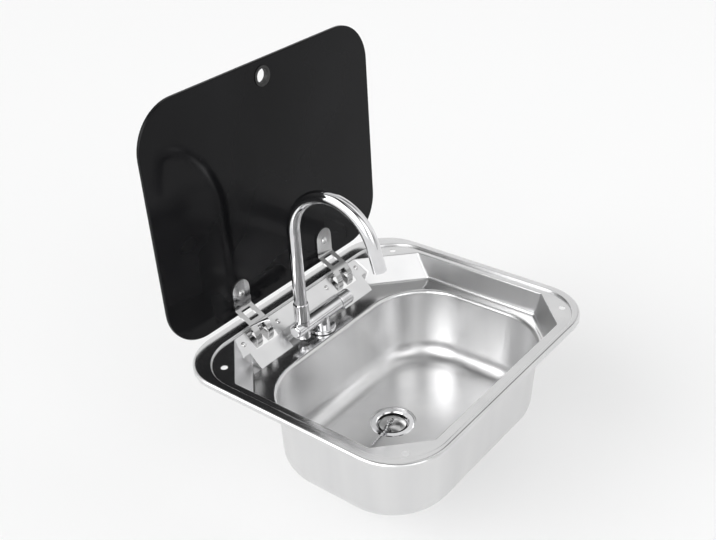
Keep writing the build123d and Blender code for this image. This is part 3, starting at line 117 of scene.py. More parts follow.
# ---------------------------------------------------------------- small helpers for node trees
def put(tree, kind, label, **values):
    """Add a node of a kind, and set its sockets by name and its settings by attribute."""
    node = tree.nodes.new(kind)
    node.label = label
    for name, value in values.items():
        socket = name.replace("_", " ")
        if socket in node.inputs:
            node.inputs[socket].default_value = value
        else:
            setattr(node, name, value)
    return node


def join(tree, source, target):
    """Link one socket to another."""
    tree.links.new(source, target)


def new_group(name, inputs, outputs):
    """Shader group with named number inputs and the outputs that are asked for."""
    group = bpy.data.node_groups.new(name, "ShaderNodeTree")
    for label, start in inputs:
        socket = group.interface.new_socket(name=label, in_out="INPUT", socket_type="NodeSocketFloat")
        socket.default_value = start
    for label, kind in outputs:
        group.interface.new_socket(name=label, in_out="OUTPUT", socket_type=kind)
    entry = group.nodes.new("NodeGroupInput")
    leave = group.nodes.new("NodeGroupOutput")
    return group, entry, leave


def scaled_position(tree, factors, label):
    """Object coordinates multiplied by three factors, for a pattern that is drawn out one way."""
    coords = put(tree, "ShaderNodeTexCoord", label + " place")
    mapping = put(tree, "ShaderNodeMapping", label + " stretch")
    mapping.inputs["Scale"].default_value = factors
    join(tree, coords.outputs["Object"], mapping.inputs["Vector"])
    return mapping.outputs["Vector"]


# ---------------------------------------------------------------- shared effects
def make_brushing():
    """Brushed grain: across the walls it runs level, on flat faces along the sink's width."""
    group, entry, leave = new_group(
        "brushing",
        [("Base Roughness", 0.25), ("Roughness Spread", 0.05)],
        [("Height", "NodeSocketFloat"), ("Roughness", "NodeSocketFloat")],
    )
    wall_place = scaled_position(group, (55.0, 55.0, 2600.0), "wall grain")
    flat_place = scaled_position(group, (70.0, 2600.0, 300.0), "flat grain")
    wall = put(group, "ShaderNodeTexNoise", "wall grain", Scale=1.0, Detail=3.0, Roughness=0.6)
    flat = put(group, "ShaderNodeTexNoise", "flat grain", Scale=1.0, Detail=3.0, Roughness=0.6)
    join(group, wall_place, wall.inputs["Vector"])
    join(group, flat_place, flat.inputs["Vector"])
    facing = put(group, "ShaderNodeTexCoord", "facing")
    split = put(group, "ShaderNodeSeparateXYZ", "facing up")
    join(group, facing.outputs["Normal"], split.inputs[0])
    upright = put(group, "ShaderNodeMath", "how level the face is", operation="ABSOLUTE")
    join(group, split.outputs["Z"], upright.inputs[0])
    share = put(group, "ShaderNodeMapRange", "flat share", interpolation_type="SMOOTHSTEP")
    share.inputs["From Min"].default_value = 0.45
    share.inputs["From Max"].default_value = 0.8
    join(group, upright.outputs[0], share.inputs["Value"])
    blend = put(group, "ShaderNodeMix", "grain of this face", data_type="FLOAT")
    join(group, share.outputs["Result"], blend.inputs["Factor"])
    join(group, wall.outputs["Fac"], blend.inputs["A"])
    join(group, flat.outputs["Fac"], blend.inputs["B"])
    join(group, blend.outputs["Result"], leave.inputs["Height"])
    centre = put(group, "ShaderNodeMath", "grain about nought", operation="SUBTRACT")
    centre.inputs[1].default_value = 0.5
    join(group, blend.outputs["Result"], centre.inputs[0])
    spread = put(group, "ShaderNodeMath", "grain spread", operation="MULTIPLY")
    join(group, centre.outputs[0], spread.inputs[0])
    join(group, entry.outputs["Roughness Spread"], spread.inputs[1])
    total = put(group, "ShaderNodeMath", "grain on base", operation="ADD", use_clamp=True)
    join(group, spread.outputs[0], total.inputs[0])
    join(group, entry.outputs["Base Roughness"], total.inputs[1])
    join(group, total.outputs[0], leave.inputs["Roughness"])
    return group


def make_mottle():
    """Slow change of tone and gloss, as pressed or cast stock shows."""
    group, entry, leave = new_group(
        "slow_mottle",
        [("Size", 30.0), ("Low", 0.0), ("High", 1.0), ("Height Stretch", 1.0)],
        [("Value", "NodeSocketFloat")],
    )
    coords = put(group, "ShaderNodeTexCoord", "place")
    stretch = put(group, "ShaderNodeCombineXYZ", "stretch")
    stretch.inputs["X"].default_value = 1.0
    stretch.inputs["Y"].default_value = 1.0
    join(group, entry.outputs["Height Stretch"], stretch.inputs["Z"])
    scale = put(group, "ShaderNodeVectorMath", "stretched place", operation="MULTIPLY")
    join(group, coords.outputs["Object"], scale.inputs[0])
    join(group, stretch.outputs[0], scale.inputs[1])
    noise = put(group, "ShaderNodeTexNoise", "mottle", Detail=2.0, Roughness=0.5)
    join(group, scale.outputs[0], noise.inputs["Vector"])
    join(group, entry.outputs["Size"], noise.inputs["Scale"])
    ramp = put(group, "ShaderNodeMapRange", "mottle range")
    ramp.inputs["From Min"].default_value = 0.3
    ramp.inputs["From Max"].default_value = 0.7
    join(group, noise.outputs["Fac"], ramp.inputs["Value"])
    join(group, entry.outputs["Low"], ramp.inputs["To Min"])
    join(group, entry.outputs["High"], ramp.inputs["To Max"])
    join(group, ramp.outputs["Result"], leave.inputs["Value"])
    return group


def make_speckle():
    """Fine even texture of moulded rubber and plastic."""
    group, entry, leave = new_group("moulded_speckle", [("Size", 2500.0)], [("Height", "NodeSocketFloat")])
    coords = put(group, "ShaderNodeTexCoord", "place")
    noise = put(group, "ShaderNodeTexNoise", "speckle", Detail=2.0, Roughness=0.6)
    join(group, coords.outputs["Object"], noise.inputs["Vector"])
    join(group, entry.outputs["Size"], noise.inputs["Scale"])
    join(group, noise.outputs["Fac"], leave.inputs["Height"])
    return group


BRUSHING = make_brushing()
MOTTLE = make_mottle()
SPECKLE = make_speckle()


# ---------------------------------------------------------------- materials
def new_material(name):
    """Material with its node tree and its main shader."""
    material = bpy.data.materials.new(name)
    material.use_nodes = True
    tree = material.node_tree
    return material, tree, tree.nodes["Principled BSDF"]


def use_group(tree, group, **values):
    """Place a shared effect in a material with this material's own values."""
    node = tree.nodes.new("ShaderNodeGroup")
    node.node_tree = group
    for name, value in values.items():
        node.inputs[name.replace("_", " ")].default_value = value
    return node


def tone_between(tree, mask, dark, light):
    """Colour that goes from dark to light with a mask."""
    mix = put(tree, "ShaderNodeMix", "tone", data_type="RGBA")
    mix.inputs["A"].default_value = (*dark, 1)
    mix.inputs["B"].default_value = (*light, 1)
    join(tree, mask, mix.inputs["Factor"])
    return mix.outputs["Result"]


def raise_bump(tree, height, shader, strength, distance):
    """Turn a height into the shader's normal."""
    bump = put(tree, "ShaderNodeBump", "surface grain", Strength=strength, Distance=distance)
    join(tree, height, bump.inputs["Height"])
    join(tree, bump.outputs["Normal"], shader.inputs["Normal"])


def brushed_steel(name, dark, light, rough, spread, grain):
    """Satin stainless steel: fine brushing over slow changes of tone."""
    material, tree, shader = new_material(name)
    shader.inputs["Metallic"].default_value = 1.0
    mottle = use_group(tree, MOTTLE, Size=24.0, Low=0.0, High=1.0, Height_Stretch=0.12)
    join(tree, tone_between(tree, mottle.outputs["Value"], dark, light), shader.inputs["Base Color"])
    brushing = use_group(tree, BRUSHING, Base_Roughness=rough, Roughness_Spread=spread)
    join(tree, brushing.outputs["Roughness"], shader.inputs["Roughness"])
    raise_bump(tree, brushing.outputs["Height"], shader, 1.0, grain)
    return material


LEVEL_FROM, LEVEL_TO = 0.90, 0.985


def polish_flats(material, low, high, gloss):
    """Keep a brighter polish on the flats that face up above a height, such as a pressed tray's rim."""
    tree = material.node_tree
    shader = tree.nodes["Principled BSDF"]
    satin = shader.inputs["Roughness"].links[0].from_socket
    coords = put(tree, "ShaderNodeTexCoord", "place")
    split = put(tree, "ShaderNodeSeparateXYZ", "height")
    join(tree, coords.outputs["Object"], split.inputs[0])
    share = put(tree, "ShaderNodeMapRange", "high enough")
    share.inputs["From Min"].default_value = low
    share.inputs["From Max"].default_value = high
    join(tree, split.outputs["Z"], share.inputs["Value"])
    facing = put(tree, "ShaderNodeSeparateXYZ", "facing up")
    join(tree, coords.outputs["Normal"], facing.inputs[0])
    level = put(tree, "ShaderNodeMapRange", "level enough")
    level.inputs["From Min"].default_value = LEVEL_FROM
    level.inputs["From Max"].default_value = LEVEL_TO
    join(tree, facing.outputs["Z"], level.inputs["Value"])
    both = put(tree, "ShaderNodeMath", "polished share", operation="MULTIPLY")
    join(tree, share.outputs["Result"], both.inputs[0])
    join(tree, level.outputs["Result"], both.inputs[1])
    factor = put(tree, "ShaderNodeMapRange", "polish factor")
    factor.inputs["To Min"].default_value = 1.0
    factor.inputs["To Max"].default_value = gloss
    join(tree, both.outputs[0], factor.inputs["Value"])
    total = put(tree, "ShaderNodeMath", "polished roughness", operation="MULTIPLY", use_clamp=True)
    join(tree, satin, total.inputs[0])
    join(tree, factor.outputs["Result"], total.inputs[1])
    join(tree, total.outputs[0], shader.inputs["Roughness"])


def polished_metal(name, dark, light, low_rough, high_rough):
    """Polished or plated metal with faint handling marks in its gloss."""
    material, tree, shader = new_material(name)
    shader.inputs["Metallic"].default_value = 1.0
    tone = use_group(tree, MOTTLE, Size=60.0, Low=0.0, High=1.0, Height_Stretch=1.0)
    join(tree, tone_between(tree, tone.outputs["Value"], dark, light), shader.inputs["Base Color"])
    gloss = use_group(tree, MOTTLE, Size=180.0, Low=low_rough, High=high_rough, Height_Stretch=0.4)
    join(tree, gloss.outputs["Value"], shader.inputs["Roughness"])
    return material


def moulded(name, dark, light, low_rough, high_rough, size):
    """Moulded rubber or plastic with a fine texture."""
    material, tree, shader = new_material(name)
    tone = use_group(tree, MOTTLE, Size=90.0, Low=0.0, High=1.0, Height_Stretch=1.0)
    join(tree, tone_between(tree, tone.outputs["Value"], dark, light), shader.inputs["Base Color"])
    gloss = use_group(tree, MOTTLE, Size=220.0, Low=low_rough, High=high_rough, Height_Stretch=1.0)
    join(tree, gloss.outputs["Value"], shader.inputs["Roughness"])
    speckle = use_group(tree, SPECKLE, Size=size)
    raise_bump(tree, speckle.outputs["Height"], shader, 0.4, 0.0001)
    return material


def tinted_glass(name):
    """Near-black toughened glass: deep gloss with a trace of wipe marks."""
    material, tree, shader = new_material(name)
    shader.inputs["IOR"].default_value = 1.22
    tone = use_group(tree, MOTTLE, Size=6.0, Low=0.0, High=1.0, Height_Stretch=1.0)
    colour = tone_between(tree, tone.outputs["Value"], (0.003, 0.003, 0.0035), (0.008, 0.008, 0.009))
    join(tree, colour, shader.inputs["Base Color"])
    wipe = use_group(tree, MOTTLE, Size=14.0, Low=0.07, High=0.12, Height_Stretch=0.35)
    join(tree, wipe.outputs["Value"], shader.inputs["Roughness"])
    return material


tray_steel = brushed_steel(
    "brushed_tray_steel", (0.69, 0.69, 0.695), (0.75, 0.75, 0.75), 0.33, 0.04, 0.0000006
)
polish_flats(tray_steel, -0.055, -0.045, 0.5)
strap_steel = brushed_steel("hinge_strap_steel", (0.48, 0.48, 0.48), (0.58, 0.58, 0.58), 0.09, 0.06, 0.000004)
bright_steel = polished_metal("bright_fastener_steel", (0.66, 0.66, 0.66), (0.74, 0.74, 0.74), 0.08, 0.15)
chrome = polished_metal("tap_chrome", (0.68, 0.68, 0.69), (0.76, 0.76, 0.77), 0.05, 0.09)
brass = polished_metal("turned_brass", (0.66, 0.47, 0.21), (0.76, 0.56, 0.27), 0.22, 0.34)
rubber = moulded("black_rubber", (0.012, 0.012, 0.012), (0.022, 0.022, 0.022), 0.5, 0.65, 3000.0)
dark_plastic = moulded("black_plastic", (0.018, 0.018, 0.019), (0.03, 0.03, 0.031), 0.35, 0.48, 2200.0)
grey_plastic = moulded("waste_plastic", (0.045, 0.045, 0.05), (0.065, 0.065, 0.07), 0.34, 0.46, 1800.0)
lid_glass = tinted_glass("dark_lid_glass")
# darker copy of the tap's chrome, for the plug alone: painted shade, so the plug's dome renders darker than
# what it reflects would make it
plug_steel = polished_metal("plug_steel", (0.40, 0.40, 0.40), (0.52, 0.52, 0.52), 0.1, 0.18)

FINISH = {
    "pressed_steel": tray_steel, "hinge_steel": strap_steel, "rivet_steel": bright_steel,
    "chrome": chrome, "brass": brass, "black_rubber": rubber, "black_plastic": dark_plastic,
    "grey_plastic": grey_plastic, "dark_glass": lid_glass,
}
for entry in frame["record"]["subparts"]:
    node = nodes[entry["node"]]
    node.data.materials.clear()
    # the plug takes the darker steel with painted shade in place of its own finish
    node.data.materials.append(plug_steel if entry["node"] == "plug" else FINISH[entry["material_slot"]])


# ---------------------------------------------------------------- finer pieces
ROUND = 0.5523
MERGE_DISTANCE = 1e-7
GLASS_CORNER = 0.059
GLASS_EDGE = 0.0014
# place from the middle, distance from the glass's edge, and radius
FINGER_HOLE = (0.0, 0.021, 0.0115)
SCREW_HOLE = (0.083, 0.0315, 0.0041)
SCREW_HEAD = 0.0022
CROSS_TURN = 20
CROSS_LENGTH, CROSS_WIDTH, CROSS_TAPER = 0.0052, 0.0011, 0.45
CROSS_TOP, CROSS_FOOT = 0.0026, 0.0008
RIVET_SEAT = (0.149341, -0.011308)
RIVET_TILT = 43.815
RIVET_START, RIVET_STEP = 0.0505, 0.065


def middle(name):
    """Middle of a CAD node's box."""
    low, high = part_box(name)
    return (Vector(low) + Vector(high)) / 2


def link(mesh, name, finish):
    """Put a mesh into the scene as a piece with one finish."""
    mesh.materials.clear()
    mesh.materials.append(finish)
    return place_object(name, mesh)


def baked(source, name):
    """Plain mesh of an object with its modifiers; the source object is taken away."""
    bpy.context.view_layer.update()
    graph = bpy.context.evaluated_depsgraph_get()
    mesh = bpy.data.meshes.new_from_object(source.evaluated_get(graph))
    mesh.name = name
    data = source.data
    bpy.data.objects.remove(source)
    if data.users == 0:
        bpy.data.batch_remove([data])
    return mesh


def mesh_from(work, name):
    """Mesh of a working bmesh, which is freed."""
    mesh = bpy.data.meshes.new(name)
    work.to_mesh(mesh)
    work.free()
    return mesh


def smooth(mesh, angle):
    """Smooth shading with sharp edges where faces meet at more than an angle in degrees."""
    work = bmesh.new()
    work.from_mesh(mesh)
    bmesh.ops.remove_doubles(work, verts=work.verts, dist=MERGE_DISTANCE)
    bmesh.ops.recalc_face_normals(work, faces=work.faces)
    for face in work.faces:
        face.smooth = True
    for edge in work.edges:
        if len(edge.link_faces) == 2:
            edge.smooth = edge.calc_face_angle(0.0) < radians(angle)
    work.to_mesh(mesh)
    work.free()


def shaped(blank, tool, operation, name, crossed=False):
    """Mesh of a blank after a boolean with a tool; both objects are taken away."""
    cut = blank.modifiers.new(tool.name, "BOOLEAN")
    cut.operation = operation
    cut.solver = "EXACT"
    cut.use_self = crossed
    cut.object = tool
    mesh = baked(blank, name)
    bpy.data.objects.remove(tool)
    return mesh


def add_loop(curve, points):
    """Closed bezier loop; each point is its place and its two handles."""
    loop = curve.splines.new("BEZIER")
    loop.bezier_points.add(len(points) - 1)
    loop.use_cyclic_u = True
    for knot, (place, before, after) in zip(loop.bezier_points, points):
        knot.handle_left_type = knot.handle_right_type = "FREE"
        knot.co = (*place, 0)
        knot.handle_left = (*before, 0)
        knot.handle_right = (*after, 0)


def rounded_outline(wide, high, corner):
    """Points of a rounded rectangle about the origin, with circular corners."""
    pull = corner * (1 - ROUND)
    points = []
    for sx, sy in ((1, 1), (-1, 1), (-1, -1), (1, -1)):
        side = ((sx * wide, sy * (high - corner)), (sx * wide, sy * (high - pull)))
        top = ((sx * (wide - corner), sy * high), (sx * (wide - pull), sy * high))
        first, last = (side, top) if sx * sy > 0 else (top, side)
        for (place, handle), leads in ((first, True), (last, False)):
            points.append((place, place, handle) if leads else (place, handle, place))
    return points


def circle_outline(x, y, radius):
    """Four points of a circle."""
    points = []
    for turn in range(4):
        c, s = cos(turn * pi / 2), sin(turn * pi / 2)
        place = (x + radius * c, y + radius * s)
        reach = (-s * radius * ROUND, c * radius * ROUND)
        before = (place[0] - reach[0], place[1] - reach[1])
        after = (place[0] + reach[0], place[1] + reach[1])
        points.append((place, before, after))
    return points


def make_lid_glass():
    """Glass plate with a rounded, polished edge all round and at its three holes."""
    low, high = (Vector(c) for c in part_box("lid_glass"))
    half = (high - low) / 2
    curve = bpy.data.curves.new("lid_glass_outline", "CURVE")
    curve.dimensions = "2D"
    curve.fill_mode = "BOTH"
    curve.resolution_u = 20
    curve.extrude = half.y - GLASS_EDGE
    curve.bevel_depth = GLASS_EDGE
    curve.bevel_resolution = 4
    curve.offset = -GLASS_EDGE
    add_loop(curve, rounded_outline(half.x, half.z, GLASS_CORNER))
    x, drop, radius = FINGER_HOLE
    add_loop(curve, circle_outline(x, half.z - drop, radius))
    x, rise, radius = SCREW_HOLE
    for side in (-1, 1):
        add_loop(curve, circle_outline(side * x, rise - half.z, radius))
    mesh = baked(place_object("lid_glass_outline", curve), "lid_glass_polished")
    mesh.transform(Matrix.Translation(middle("lid_glass")) @ Matrix.Rotation(radians(90), 4, "X"))
    smooth(mesh, 30)
    piece = link(mesh, "lid_glass_polished", lid_glass)
    weighted = piece.modifiers.new("even face normals", "WEIGHTED_NORMAL")
    weighted.keep_sharp = True
    mesh = baked(piece, "lid_glass_polished")
    piece = link(mesh, "lid_glass_polished", lid_glass)
    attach(piece, "lid")
    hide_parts("lid_glass")


def ring_of_verts(work, radius, height, steps):
    """Even ring of vertices about Z."""
    turns = [2 * pi * i / steps for i in range(steps)]
    return [work.verts.new((radius * cos(turn), radius * sin(turn), height)) for turn in turns]


def turned_mesh(name, profile, steps, ring=False):
    """Closed mesh turned about Z, from a profile that starts and ends on the axis or a closed one."""
    work = bmesh.new()
    rings = []
    for radius, height in profile:
        if radius == 0:
            rings.append([work.verts.new((0, 0, height))])
        else:
            rings.append(ring_of_verts(work, radius, height, steps))
    pairs = list(zip(rings[:-1], rings[1:]))
    if ring:
        pairs.append((rings[-1], rings[0]))
    for below, above in pairs:
        for i in range(steps):
            corners = [below[i % len(below)], below[(i + 1) % len(below)]]
            corners += [above[(i + 1) % len(above)], above[i % len(above)]]
            face = list(dict.fromkeys(corners))
            if len(face) > 2:
                work.faces.new(face)
    bmesh.ops.recalc_face_normals(work, faces=work.faces)
    return mesh_from(work, name)


def pan_screw():
    """Pan-head screw about Z with washer, cross recess and shank; the tab's face is at nought."""
    profile = [
        (0, -0.0099), (0.0021, -0.0099), (0.0024, -0.0095), (0.0024, 0), (0.0052, 0), (0.0052, 0.0004),
        (0.005, 0.0006), (0.0043, 0.0006), (0.0042, 0.0009), (0.004, 0.0014), (0.0034, 0.0019),
        (0.0024, 0.00215), (0.0012, 0.0022), (0, 0.0022),
    ]
    screw = place_object("screw_blank", turned_mesh("screw_blank", profile, 48))
    work = bmesh.new()
    for turn in (0, 90):
        spin = Matrix.Rotation(radians(turn + CROSS_TURN), 4, "Z")
        for vert in bmesh.ops.create_cube(work, size=1.0)["verts"]:
            top = vert.co.z > 0
            along = vert.co.x * CROSS_LENGTH * (1.0 if top else CROSS_TAPER)
            vert.co = spin @ Vector((along, vert.co.y * CROSS_WIDTH, CROSS_TOP if top else CROSS_FOOT))
    tool = place_object("cross_recess", mesh_from(work, "cross_recess"))
    mesh = shaped(screw, tool, "DIFFERENCE", "pan_screw", crossed=True)
    smooth(mesh, 34)
    return mesh


def domed_rivet():
    """Rivet about Z with a low domed head, shank and back head; the sheet's face is at nought."""
    profile = [
        (0, -0.00325), (0.0034, -0.00325), (0.0036, -0.003), (0.0036, -0.0025), (0.002, -0.0025), (0.002, 0),
        (0.0036, 0), (0.0036, 0.0002), (0.0033, 0.0006), (0.0027, 0.001), (0.0018, 0.0013), (0.0009, 0.00145),
        (0, 0.0015),
    ]
    mesh = turned_mesh("domed_rivet", profile, 40)
    smooth(mesh, 40)
    return mesh


def new_geometry_tree(name, inputs):
    """Geometry tree with named inputs, one more for the finish, and one output."""
    tree = bpy.data.node_groups.new(name, "GeometryNodeTree")
    for label, kind in [("Geometry", "Geometry"), *inputs, ("Finish", "Material")]:
        tree.interface.new_socket(name=label, in_out="INPUT", socket_type="NodeSocket" + kind)
    tree.interface.new_socket(name="Geometry", in_out="OUTPUT", socket_type="NodeSocketGeometry")
    return tree, tree.nodes.new("NodeGroupInput")


def end_tree(tree, entry, geometry):
    """Last nodes of a geometry tree: real pieces with the finish that its input gives."""
    real = put(tree, "GeometryNodeRealizeInstances", "real pieces")
    join(tree, geometry, real.inputs["Geometry"])
    finish = put(tree, "GeometryNodeSetMaterial", "finish")
    join(tree, real.outputs["Geometry"], finish.inputs["Geometry"])
    join(tree, entry.outputs["Finish"], finish.inputs["Material"])
    leave = tree.nodes.new("NodeGroupOutput")
    join(tree, finish.outputs["Geometry"], leave.inputs["Geometry"])
    return tree


def make_mirrored_row():
    """Geometry tree: a row of copies of one piece, and the same row on the other side of the middle."""
    tree, entry = new_geometry_tree("mirrored_row", [
        ("Piece", "Object"), ("Start", "Vector"), ("Step", "Vector"), ("Count", "Int"), ("Tilt", "Vector"),
    ])
    row = put(tree, "GeometryNodeMeshLine", "row of places", mode="OFFSET")
    join(tree, entry.outputs["Count"], row.inputs["Count"])
    join(tree, entry.outputs["Start"], row.inputs["Start Location"])
    join(tree, entry.outputs["Step"], row.inputs["Offset"])
    other = put(tree, "GeometryNodeTransform", "the other side")
    other.inputs["Scale"].default_value = (-1, 1, 1)
    join(tree, row.outputs["Mesh"], other.inputs["Geometry"])
    both = put(tree, "GeometryNodeJoinGeometry", "both sides")
    join(tree, row.outputs["Mesh"], both.inputs["Geometry"])
    join(tree, other.outputs["Geometry"], both.inputs["Geometry"])
    piece = put(tree, "GeometryNodeObjectInfo", "one piece")
    piece.inputs["As Instance"].default_value = True
    join(tree, entry.outputs["Piece"], piece.inputs["Object"])
    copies = put(tree, "GeometryNodeInstanceOnPoints", "a copy at each place")
    join(tree, both.outputs["Geometry"], copies.inputs["Points"])
    join(tree, piece.outputs["Geometry"], copies.inputs["Instance"])
    turn = put(tree, "FunctionNodeEulerToRotation", "tilt of the copies")
    join(tree, entry.outputs["Tilt"], turn.inputs[0])
    join(tree, turn.outputs[0], copies.inputs["Rotation"])
    return end_tree(tree, entry, copies.outputs["Instances"])


def grown(tree, name, finish, **values):
    """Piece grown by a geometry tree from named inputs, as one plain mesh."""
    seed = place_object(name, bpy.data.meshes.new(name + "_seed"))
    grow = seed.modifiers.new(tree.name, "NODES")
    grow.node_group = tree
    keys = {item.name: item.identifier for item in tree.interface.items_tree if item.in_out == "INPUT"}
    for label, value in values.items():
        grow[keys[label.replace("_", " ")]] = value
    grow[keys["Finish"]] = finish
    return link(baked(seed, name), name, finish)


def make_fasteners():
    """Screws of the lid's tabs and rivets of the slanted wall, in rows on both sides."""
    tree = make_mirrored_row()
    low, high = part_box("lid_screws")
    screw_row = {
        "Start": (SCREW_HOLE[0], low[1] + SCREW_HEAD, middle("lid_screws").z), "Step": (0, 0, 0),
        "Count": 1, "Tilt": (radians(90), 0, 0),
    }
    rivet_row = {
        "Start": (RIVET_START, *RIVET_SEAT), "Step": (RIVET_STEP, 0, 0),
        "Count": 2, "Tilt": (radians(RIVET_TILT), 0, 0),
    }
    for name, mesh, body, node, values in (
        ("cross_head_screws", pan_screw(), "lid", "lid_screws", screw_row),
        ("domed_rivets", domed_rivet(), "sink", "hinge_rivets", rivet_row),
    ):
        sample = place_object(name + "_sample", mesh)
        piece = grown(tree, name, bright_steel, Piece=sample, **values)
        bpy.data.objects.remove(sample)
        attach(piece, body)
        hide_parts(node)


CHAIN_ROUTE = [(-0.0097, 0.003), (-0.0125, 0.0017), (-0.0207, -0.0016), (-0.033, -0.0025), (-0.0535, -0.005)]
CHAIN_LOOP = (-0.0084, 0.003)
CHAIN_LOOP_RADIUS = 0.0013
CHAIN_EYE_DROP = 0.0017
BEAD_RADIUS = 0.0018
BEAD_WIRE = 0.0005
BEAD_COUNT = 10
BEAD_START = 0.0028


def make_bead_string():
    """Geometry tree: round beads at even spaces on a path, joined by wire, with a loop at one end."""
    tree, entry = new_geometry_tree("bead_string", [
        ("Path", "Object"), ("Beads", "Int"), ("Bead Radius", "Float"), ("Wire Radius", "Float"),
        ("First Bead", "Float"), ("Loop Radius", "Float"), ("Loop Place", "Vector"),
    ])
    path = put(tree, "GeometryNodeObjectInfo", "path of the chain")
    join(tree, entry.outputs["Path"], path.inputs["Object"])
    rest = put(tree, "GeometryNodeTrimCurve", "from the first bead on", mode="LENGTH")
    ends = {socket.identifier: socket for socket in rest.inputs}
    ends["End_001"].default_value = 1.0
    join(tree, path.outputs["Geometry"], rest.inputs["Curve"])
    join(tree, entry.outputs["First Bead"], ends["Start_001"])
    spots = put(tree, "GeometryNodeCurveToPoints", "even spaces", mode="COUNT")
    join(tree, rest.outputs["Curve"], spots.inputs["Curve"])
    join(tree, entry.outputs["Beads"], spots.inputs["Count"])
    ball = put(tree, "GeometryNodeMeshUVSphere", "one bead", Segments=28, Rings=18)
    join(tree, entry.outputs["Bead Radius"], ball.inputs["Radius"])
    round_ball = put(tree, "GeometryNodeSetShadeSmooth", "smooth bead")
    join(tree, ball.outputs["Mesh"], round_ball.inputs["Geometry"])
    beads = put(tree, "GeometryNodeInstanceOnPoints", "a bead at each place")
    join(tree, spots.outputs["Points"], beads.inputs["Points"])
    join(tree, round_ball.outputs["Geometry"], beads.inputs["Instance"])
    ring = put(tree, "GeometryNodeCurvePrimitiveCircle", "wire section", Resolution=10)
    join(tree, entry.outputs["Wire Radius"], ring.inputs["Radius"])
    wire = put(tree, "GeometryNodeCurveToMesh", "wire between beads")
    wire.inputs["Fill Caps"].default_value = True
    join(tree, path.outputs["Geometry"], wire.inputs["Curve"])
    join(tree, ring.outputs["Curve"], wire.inputs["Profile Curve"])
    loop = put(tree, "GeometryNodeCurvePrimitiveCircle", "end loop", Resolution=28)
    join(tree, entry.outputs["Loop Radius"], loop.inputs["Radius"])
    placed = put(tree, "GeometryNodeTransform", "loop on the ring")
    placed.inputs["Rotation"].default_value = (radians(90), 0, 0)
    join(tree, entry.outputs["Loop Place"], placed.inputs["Translation"])
    join(tree, loop.outputs["Curve"], placed.inputs["Geometry"])
    loop_wire = put(tree, "GeometryNodeCurveToMesh", "wire of the loop")
    join(tree, placed.outputs["Geometry"], loop_wire.inputs["Curve"])
    join(tree, ring.outputs["Curve"], loop_wire.inputs["Profile Curve"])
    chain = put(tree, "GeometryNodeJoinGeometry", "chain")
    for part in (loop_wire.outputs["Mesh"], beads.outputs["Instances"], wire.outputs["Mesh"]):
        join(tree, part, chain.inputs["Geometry"])
    return end_tree(tree, entry, chain.outputs["Geometry"])


def make_plug_chain():
    """Bead chain that runs from the plug's ring over the bowl's floor."""
    low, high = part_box("plug_chain")
    bead_z, eye_z = low[2] + BEAD_RADIUS, high[2] - CHAIN_EYE_DROP
    heights = [eye_z, bead_z + BEAD_RADIUS, bead_z, bead_z, bead_z]
    curve = bpy.data.curves.new("chain_path", "CURVE")
    curve.dimensions = "3D"
    curve.resolution_u = 24
    line = curve.splines.new("BEZIER")
    line.bezier_points.add(len(CHAIN_ROUTE) - 1)
    for knot, (x, y), z in zip(line.bezier_points, CHAIN_ROUTE, heights):
        knot.co = (x, y, z)
        knot.handle_left_type = knot.handle_right_type = "AUTO"
    path = place_object("chain_path", curve)
    piece = grown(
        make_bead_string(), "bead_chain", chrome, Path=path, Beads=BEAD_COUNT, Bead_Radius=BEAD_RADIUS,
        Wire_Radius=BEAD_WIRE, First_Bead=BEAD_START, Loop_Radius=CHAIN_LOOP_RADIUS,
        Loop_Place=(*CHAIN_LOOP, eye_z),
    )
    bpy.data.objects.remove(path)
    smooth(piece.data, 50)
    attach(piece, "plug")
    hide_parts("plug_chain")


# heights in the frame while the shank's foot is at SHANK_FOOT
SHANK_FOOT, SHANK_GROOVE, SHANK_SHOULDER = -0.0788, -0.0504, -0.0328
SHANK_NECK_RADIUS, SHANK_BORE_RADIUS, SHANK_FOOT_CHAMFER = 0.0085, 0.0065, 0.0012
SHANK_STEPS = 64
THREAD_PITCH = 0.001814
THREAD_DEPTH = 0.0009
THREAD_LEAD_IN, THREAD_RUN_OUT = 0.0012, 0.0015
THREAD_SHAPE = (0.0, 0.45, 1.0, 1.0, 0.45, 0.0)


def threaded_rows(low, high, crest):
    """Rows of points of a thread that climbs round Z, with a plain ring at each end."""
    count = len(THREAD_SHAPE)
    turns = int((high - low) / THREAD_PITCH) + 1
    rows = []
    for row in range(count * (turns + 1) + 1):
        ring = []
        for i in range(SHANK_STEPS):
            z = low + (row - count + count * i / SHANK_STEPS) * THREAD_PITCH / count
            radius = crest - THREAD_DEPTH * (1 - THREAD_SHAPE[row % count])
            if z <= low or z >= high:
                z, radius = min(max(z, low), high), crest - THREAD_DEPTH
            turn = 2 * pi * i / SHANK_STEPS
            ring.append((radius * cos(turn), radius * sin(turn), z))
        rows.append(ring)
    return rows


